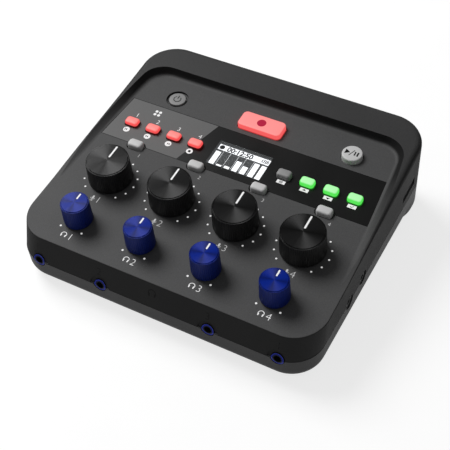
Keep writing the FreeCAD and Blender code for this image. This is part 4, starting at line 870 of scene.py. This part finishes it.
def slotRing(inset, z):
    return roundedRing(joint["slotX"] - inset, joint["slotY"] - inset, joint["slotCorner"] - inset, z, 10)


for number, x in enumerate(channels, 1):
    lip, top, floorZ = joint["slotLip"], joint["slotTop"], joint["slotFloor"]
    rings = [slotRing(0, top), slotRing(0, floorZ), slotRing(lip, floorZ), slotRing(lip, joint["slotInside"]),
             slotRing(joint["slotBevel"], top)]
    where = shifted(x, middleOf(f"mute_button_{number}").y)
    addPiece(f"mute_slot_{number}", loft(rings, None, True), carved, "case", where)

# Print on the inlay. The x of discs, figures and plates is measured from their key's middle
labels = {"disc": (-0.85, 33.05), "discRadius": 1.8, "figureAt": (-0.7, 44.6), "figure": 2.6,
          "plate": (0.2, 33.7), "plateSize": (4.6, 2.2), "clover": (-55.7, 50.2), "leafAt": 1.12, "leaf": 0.85}
padColumns = [middleOf(f"sound_pad_{n}").x for n in (1, 2, 3, 4)]
keyRow = ("menu_button", "mode_button_1", "mode_button_2", "mode_button_3")
keyColumns = [middleOf(node).x for node in keyRow]
discs = [(x + labels["disc"][0], labels["disc"][1]) for x in padColumns]
plates = [(x + labels["plate"][0], labels["plate"][1]) for x in keyColumns]
inlayPrint = Flat()
for number, (column, spot) in enumerate(zip(padColumns, discs), 1):
    inlayPrint.disc(*spot, labels["discRadius"], 8)
    figureX, figureY = labels["figureAt"]
    inlayPrint.figures(str(number), column + figureX, figureY, labels["figure"], dial["smallThinner"])
cloverX, cloverY = labels["clover"]
for side in (-1, 1):
    for up in (-1, 1):
        inlayPrint.disc(cloverX + side * labels["leafAt"], cloverY + up * labels["leafAt"], labels["leaf"], 5)
for spot in plates:
    inlayPrint.bar(*spot, *labels["plateSize"])
addPiece("inlay_print", inlayPrint.solid(*printLayer), whiteInk, "case")

# Dark signs inside the white discs and plates: track back, rewind, forward, stop, list, up, down, tick
signLayer = (0.0, 0.035)
sign = {"endBar": (-0.85, 0.3, 1.5), "skip": (0.3, 0.85), "pair": (-0.4, 0.5), "pairSize": 0.72, "stop": 1.4,
        "rows": (-0.55, 0, 0.55), "row": (2.0, 0.3), "scroll": (0.35, 1.1),
        "tick": ((-0.85, 0.1), (-0.2, -0.5), (0.95, 0.6)), "tickWidth": 0.32}
signs = Flat()


def arrowHead(x, y, size, direction):
    tip = Vector(direction) * size
    side = Vector((-tip.y, tip.x))
    signs.outline([(x + p.x, y + p.y) for p in (tip, side, -side)])


x, y = discs[0]
barX, barWidth, barHeight = sign["endBar"]
signs.bar(x + barX, y, barWidth, barHeight)
arrowHead(x + sign["skip"][0], y, sign["skip"][1], (-1, 0))
for (x, y), direction in ((discs[1], (-1, 0)), (discs[2], (1, 0))):
    for offset in sign["pair"]:
        arrowHead(x + offset, y, sign["pairSize"], direction)
signs.bar(*discs[3], sign["stop"], sign["stop"])
x, y = plates[0]
for up in sign["rows"]:
    signs.bar(x, y + up, *sign["row"])
for (x, y), up in ((plates[1], 1), (plates[2], -1)):
    arrowHead(x, y - sign["scroll"][0] * up, sign["scroll"][1], (0, up))
x, y = plates[3]
signs.stroke([(x + tickX, y + tickY) for tickX, tickY in sign["tick"]], sign["tickWidth"])
addPiece("inlay_signs", signs.solid(*signLayer), blackInk, "case")
print("print done")


# Display: a lit face with its bars and figures, under the window

display = {"plane": -1.85, "faceOver": (2.4, 1.4), "faceGap": 0.02, "header": (-14.6, 15.2, 41.7, 45.4),
           "base": 31.1, "barWidth": 2.9, "barLayer": (-0.01, 0.03), "inkLayer": (0.03, 0.06),
           "bars": ((-14.5, 40.3), (-10.0, 32.1), (-5.6, 32.7), (-1.2, 38.2), (3.2, 36.3), (7.9, 40.6),
                    (12.0, 40.6)),
           "dividers": (-10.65, -6.4, -1.8, 2.6, 7.2), "dividerSpan": (31.8, 41.3), "dashes": 12,
           "dash": (0.22, 0.42), "recordAt": -12.7, "recordDot": 1.45, "timeAt": -2.2, "time": (3.3, 0.03)}
# Cell sign in the header: x, offset from the header's middle, width and height of each bar
cellBars = ((10.6, 0, 0.5, 2.1), (12.6, 0.95, 3.0, 0.3), (12.6, -0.95, 3.0, 0.3), (14.1, 0, 0.35, 2.1),
            (11.7, 0, 0.5, 1.3), (12.6, 0, 0.5, 1.3), (13.4, 0, 0.5, 1.3))
lensLow, lensHigh = panelBox("display_lens")
moduleTop = panelBox("display_module")[1].z
plane = display["plane"]
overX, overY = display["faceOver"]
face = Flat()
face.bar((lensLow.x + lensHigh.x) / 2, (lensLow.y + lensHigh.y) / 2, lensHigh.x - lensLow.x + overX,
         lensHigh.y - lensLow.y + overY)
addPiece("display_face", face.solid(moduleTop + display["faceGap"], plane), screen, "case")


def onDisplay(name, shape, layer, made):
    low, high = display[layer]
    addPiece(name, shape.solid(plane + low, plane + high), made, "case")


left, right, low, high = display["header"]
middle = (low + high) / 2
shown = Flat()
shown.bar((left + right) / 2, middle, right - left, high - low)
base, width = display["base"], display["barWidth"]
for barLeft, barTop in display["bars"]:
    shown.bar(barLeft + width / 2, (base + barTop) / 2, width, barTop - base)
dashLow, dashHigh = display["dividerSpan"]
for x in display["dividers"]:
    for k in range(display["dashes"]):
        y = dashLow + (dashHigh - dashLow) * (k + 0.5) / display["dashes"]
        shown.bar(x, y, *display["dash"])
onDisplay("display_bars", shown, "barLayer", pixels)
header = Flat()
header.disc(display["recordAt"], middle, display["recordDot"], 8)
header.figures("00:12:50", display["timeAt"], middle, *display["time"])
for x, up, width, height in cellBars:
    header.bar(x, middle + up, width, height)
onDisplay("display_header", header, "inkLayer", blankPixels)
print("display done")


# Front jacks: a bright blue lip flush with the sloping wall, a navy slope inside it that is the blue with painted
# shade, then the dark bore

jack = {"lip": (2.97, 0.38), "slope": (2.5, 0.56), "mouth": (2.04, 0.36), "start": 10.0,
        "lift": 0.02, "sink": 0.1}
mounts = {mount["name"]: mount for mount in frame["record"]["mounts"]}
frontTurn = Matrix(((1, 0, 0, 0), (0, 0, -1, 0), (0, 1, 0, 0), (0, 0, 0, 1)))  # local z to the front
rightTurn = Matrix(((0, 0, 1, 0), (1, 0, 0, 0), (0, 1, 0, 0), (0, 0, 0, 1)))  # local z to the right
jackSurface = surfaceOf("phones_jacks")
jackPlaces = [panel.inverted() @ Vector(mounts[f"phones_jack_{n}"]["pos_m"]) / mm for n in (1, 2, 3, 4)]
for number, place in enumerate(jackPlaces, 1):
    where = shifted(place.x, place.y - jack["start"], place.z) @ frontTurn
    for part, made in (("lip", ringBlue), ("slope", ringNavy), ("mouth", boreBlack)):
        ring = Flat()
        ring.arc(0, 0, *jack[part], steps=40)
        mesh = ring.pressedOn(jackSurface, where, jack["lift"], jack["sink"])
        addPiece(f"phones_jack_{number}.{part}", mesh, made, "case", Matrix())

# Contact sleeves in the three holes of each microphone socket
sleeve = {"circle": 3.9, "angles": (-90, 30, 150), "outer": 1.33, "inner": 0.95, "sink": 0.25,
          "depth": 4.0}
backTurn = Matrix(((-1, 0, 0, 0), (0, 0, 1, 0), (0, 1, 0, 0), (0, 0, 0, 1)))  # local z to the back
insertFace = panelBox("mic_inserts")[1].y
for number in (1, 2, 3, 4):
    middle = middleOf(f"mic_socket_{number}")
    outer, inner, front, back = sleeve["outer"], sleeve["inner"], -sleeve["sink"], -sleeve["depth"]
    for angle in sleeve["angles"]:
        x = middle.x + sleeve["circle"] * math.cos(math.radians(angle))
        z = middle.z + sleeve["circle"] * math.sin(math.radians(angle))
        tube = [(outer, front), (outer, back), (inner, back), (inner, front)]
        mesh = turned(tube, 24, closed=True)
        name = f"mic_contact_{number}.at_{angle % 360}"
        addPiece(name, mesh, brass, "case", shifted(x, insertFace, z) @ backTurn)
print("jacks and sockets done")


# Engraved marks over the jacks: figures and a headphone sign in front, a speaker and a handset at the
# right, laid as thin dark sheets that are the painted shade of the engraving. frontStart and rightStart lie
# outside the case, and the marks are pressed on from there

engraved = {"frontStart": -70, "rightStart": 100, "frontZ": -5.4, "figure": 3.8, "figureShift": -0.7,
            "phonesX": -0.8, "phonesSize": 1.35, "speaker": (7.7, -7.4), "handset": (-3.7, -7.6),
            "lift": 0.002, "sink": 0.1}
speakerParts = {"magnet": (-1.3, 0, 0.8, 1.3), "cone": ((-0.8, 0.65), (-0.8, -0.65), (0.2, -1.5), (0.2, 1.5)),
                "waves": ((1.0, 8), (1.75, 10)), "waveAt": 0.2, "waveWidth": 0.28, "waveTurn": 50}
handsetParts = {"grip": (1.1, 1.1, 2.6, 0.5, 195, 255, 10), "corner": 0.2,
                "ends": ((-1.35, 0.75, 0.9, 1.1), (0.75, -1.35, 1.1, 0.9))}


def engrave(name, shape, where):
    mesh = shape.pressedOn(coverSurface, where, engraved["lift"], engraved["sink"])
    addPiece(name, mesh, carved, "case", Matrix())


def engraveFront(name, shape, x):
    engrave(name, shape, shifted(x, engraved["frontStart"], engraved["frontZ"]) @ frontTurn)


for number, place in enumerate(jackPlaces, 1):
    shape = Flat()
    shape.figures(str(number), 0, 0, engraved["figure"], dial["smallThinner"])
    engraveFront(f"front_figure_{number}", shape, place.x + engraved["figureShift"])
shape = Flat()
headphones(shape, 0, 0, engraved["phonesSize"])
engraveFront("front_sign", shape, engraved["phonesX"])
speaker = Flat()
speaker.bar(*speakerParts["magnet"])
speaker.outline(speakerParts["cone"])
for radius, steps in speakerParts["waves"]:
    turn = speakerParts["waveTurn"]
    speaker.arc(speakerParts["waveAt"], 0, radius, speakerParts["waveWidth"], -turn, turn, steps)
handset = Flat()
handset.arc(*handsetParts["grip"])
for end in handsetParts["ends"]:
    handset.bar(*end, handsetParts["corner"])
for name, shape in (("speaker", speaker), ("handset", handset)):
    y, z = engraved[name]
    engrave(f"right_sign_{name}", shape, shifted(engraved["rightStart"], y, z) @ rightTurn)
print("engraved marks done")


# Camera, floor and lights, with places in metres. The camera stands where the photo was taken from

studio = {"lens": 79.392, "sensor": 36.0, "camera": (0.17682737, -0.32937766, 0.37616021),
          "turn": (45.131, 0.3455, 28.163), "floorHalf": 6.0, "floorGlow": 0.75,
          "floorGrey": (0.32, 0.32, 0.32), "lamp": (-0.75, 0.15, 0.95), "aim": (0, 0, 0.03),
          "lampSize": 0.7, "watts": 12.0, "sky": 0.2}
cameraData = bpy.data.cameras.new("camera")
cameraData.lens = studio["lens"]
cameraData.sensor_width = studio["sensor"]
camera = bpy.data.objects.new("camera", cameraData)
camera.location = studio["camera"]
camera.rotation_euler = Euler([math.radians(turn) for turn in studio["turn"]], "XYZ")
scene.collection.objects.link(camera)
scene.camera = camera

half = studio["floorHalf"]
floorMesh = bpy.data.meshes.new("floor")
corners = [(-half, -half, 0), (half, -half, 0), (half, half, 0), (-half, half, 0)]
floorMesh.from_pydata(corners, [], [(0, 1, 2, 3)])
floor = bpy.data.objects.new("floor", floorMesh)
scene.collection.objects.link(floor)
paperGlow = {"Emission Color": (1, 1, 1, 1), "Emission Strength": studio["floorGlow"]}
paper = moulded("floorPaper", studio["floorGrey"], 0.9, grainSize=0.002, mottle=0.01, bump=0.0, **paperGlow)
floorMesh.materials.append(paper)

lampData = bpy.data.lights.new("keyLight", "AREA")
lampData.shape = "DISK"
lampData.size = studio["lampSize"]
lampData.energy = studio["watts"]
lamp = bpy.data.objects.new("keyLight", lampData)
lamp.location = studio["lamp"]
lamp.rotation_euler = (lamp.location - Vector(studio["aim"])).to_track_quat("Z", "Y").to_euler()
scene.collection.objects.link(lamp)
world = bpy.data.worlds.new("studio")
world.use_nodes = True
sky = world.node_tree.nodes["Background"]
sky.inputs["Color"].default_value = (1, 1, 1, 1)
sky.inputs["Strength"].default_value = studio["sky"]
scene.world = world
print("stage done")
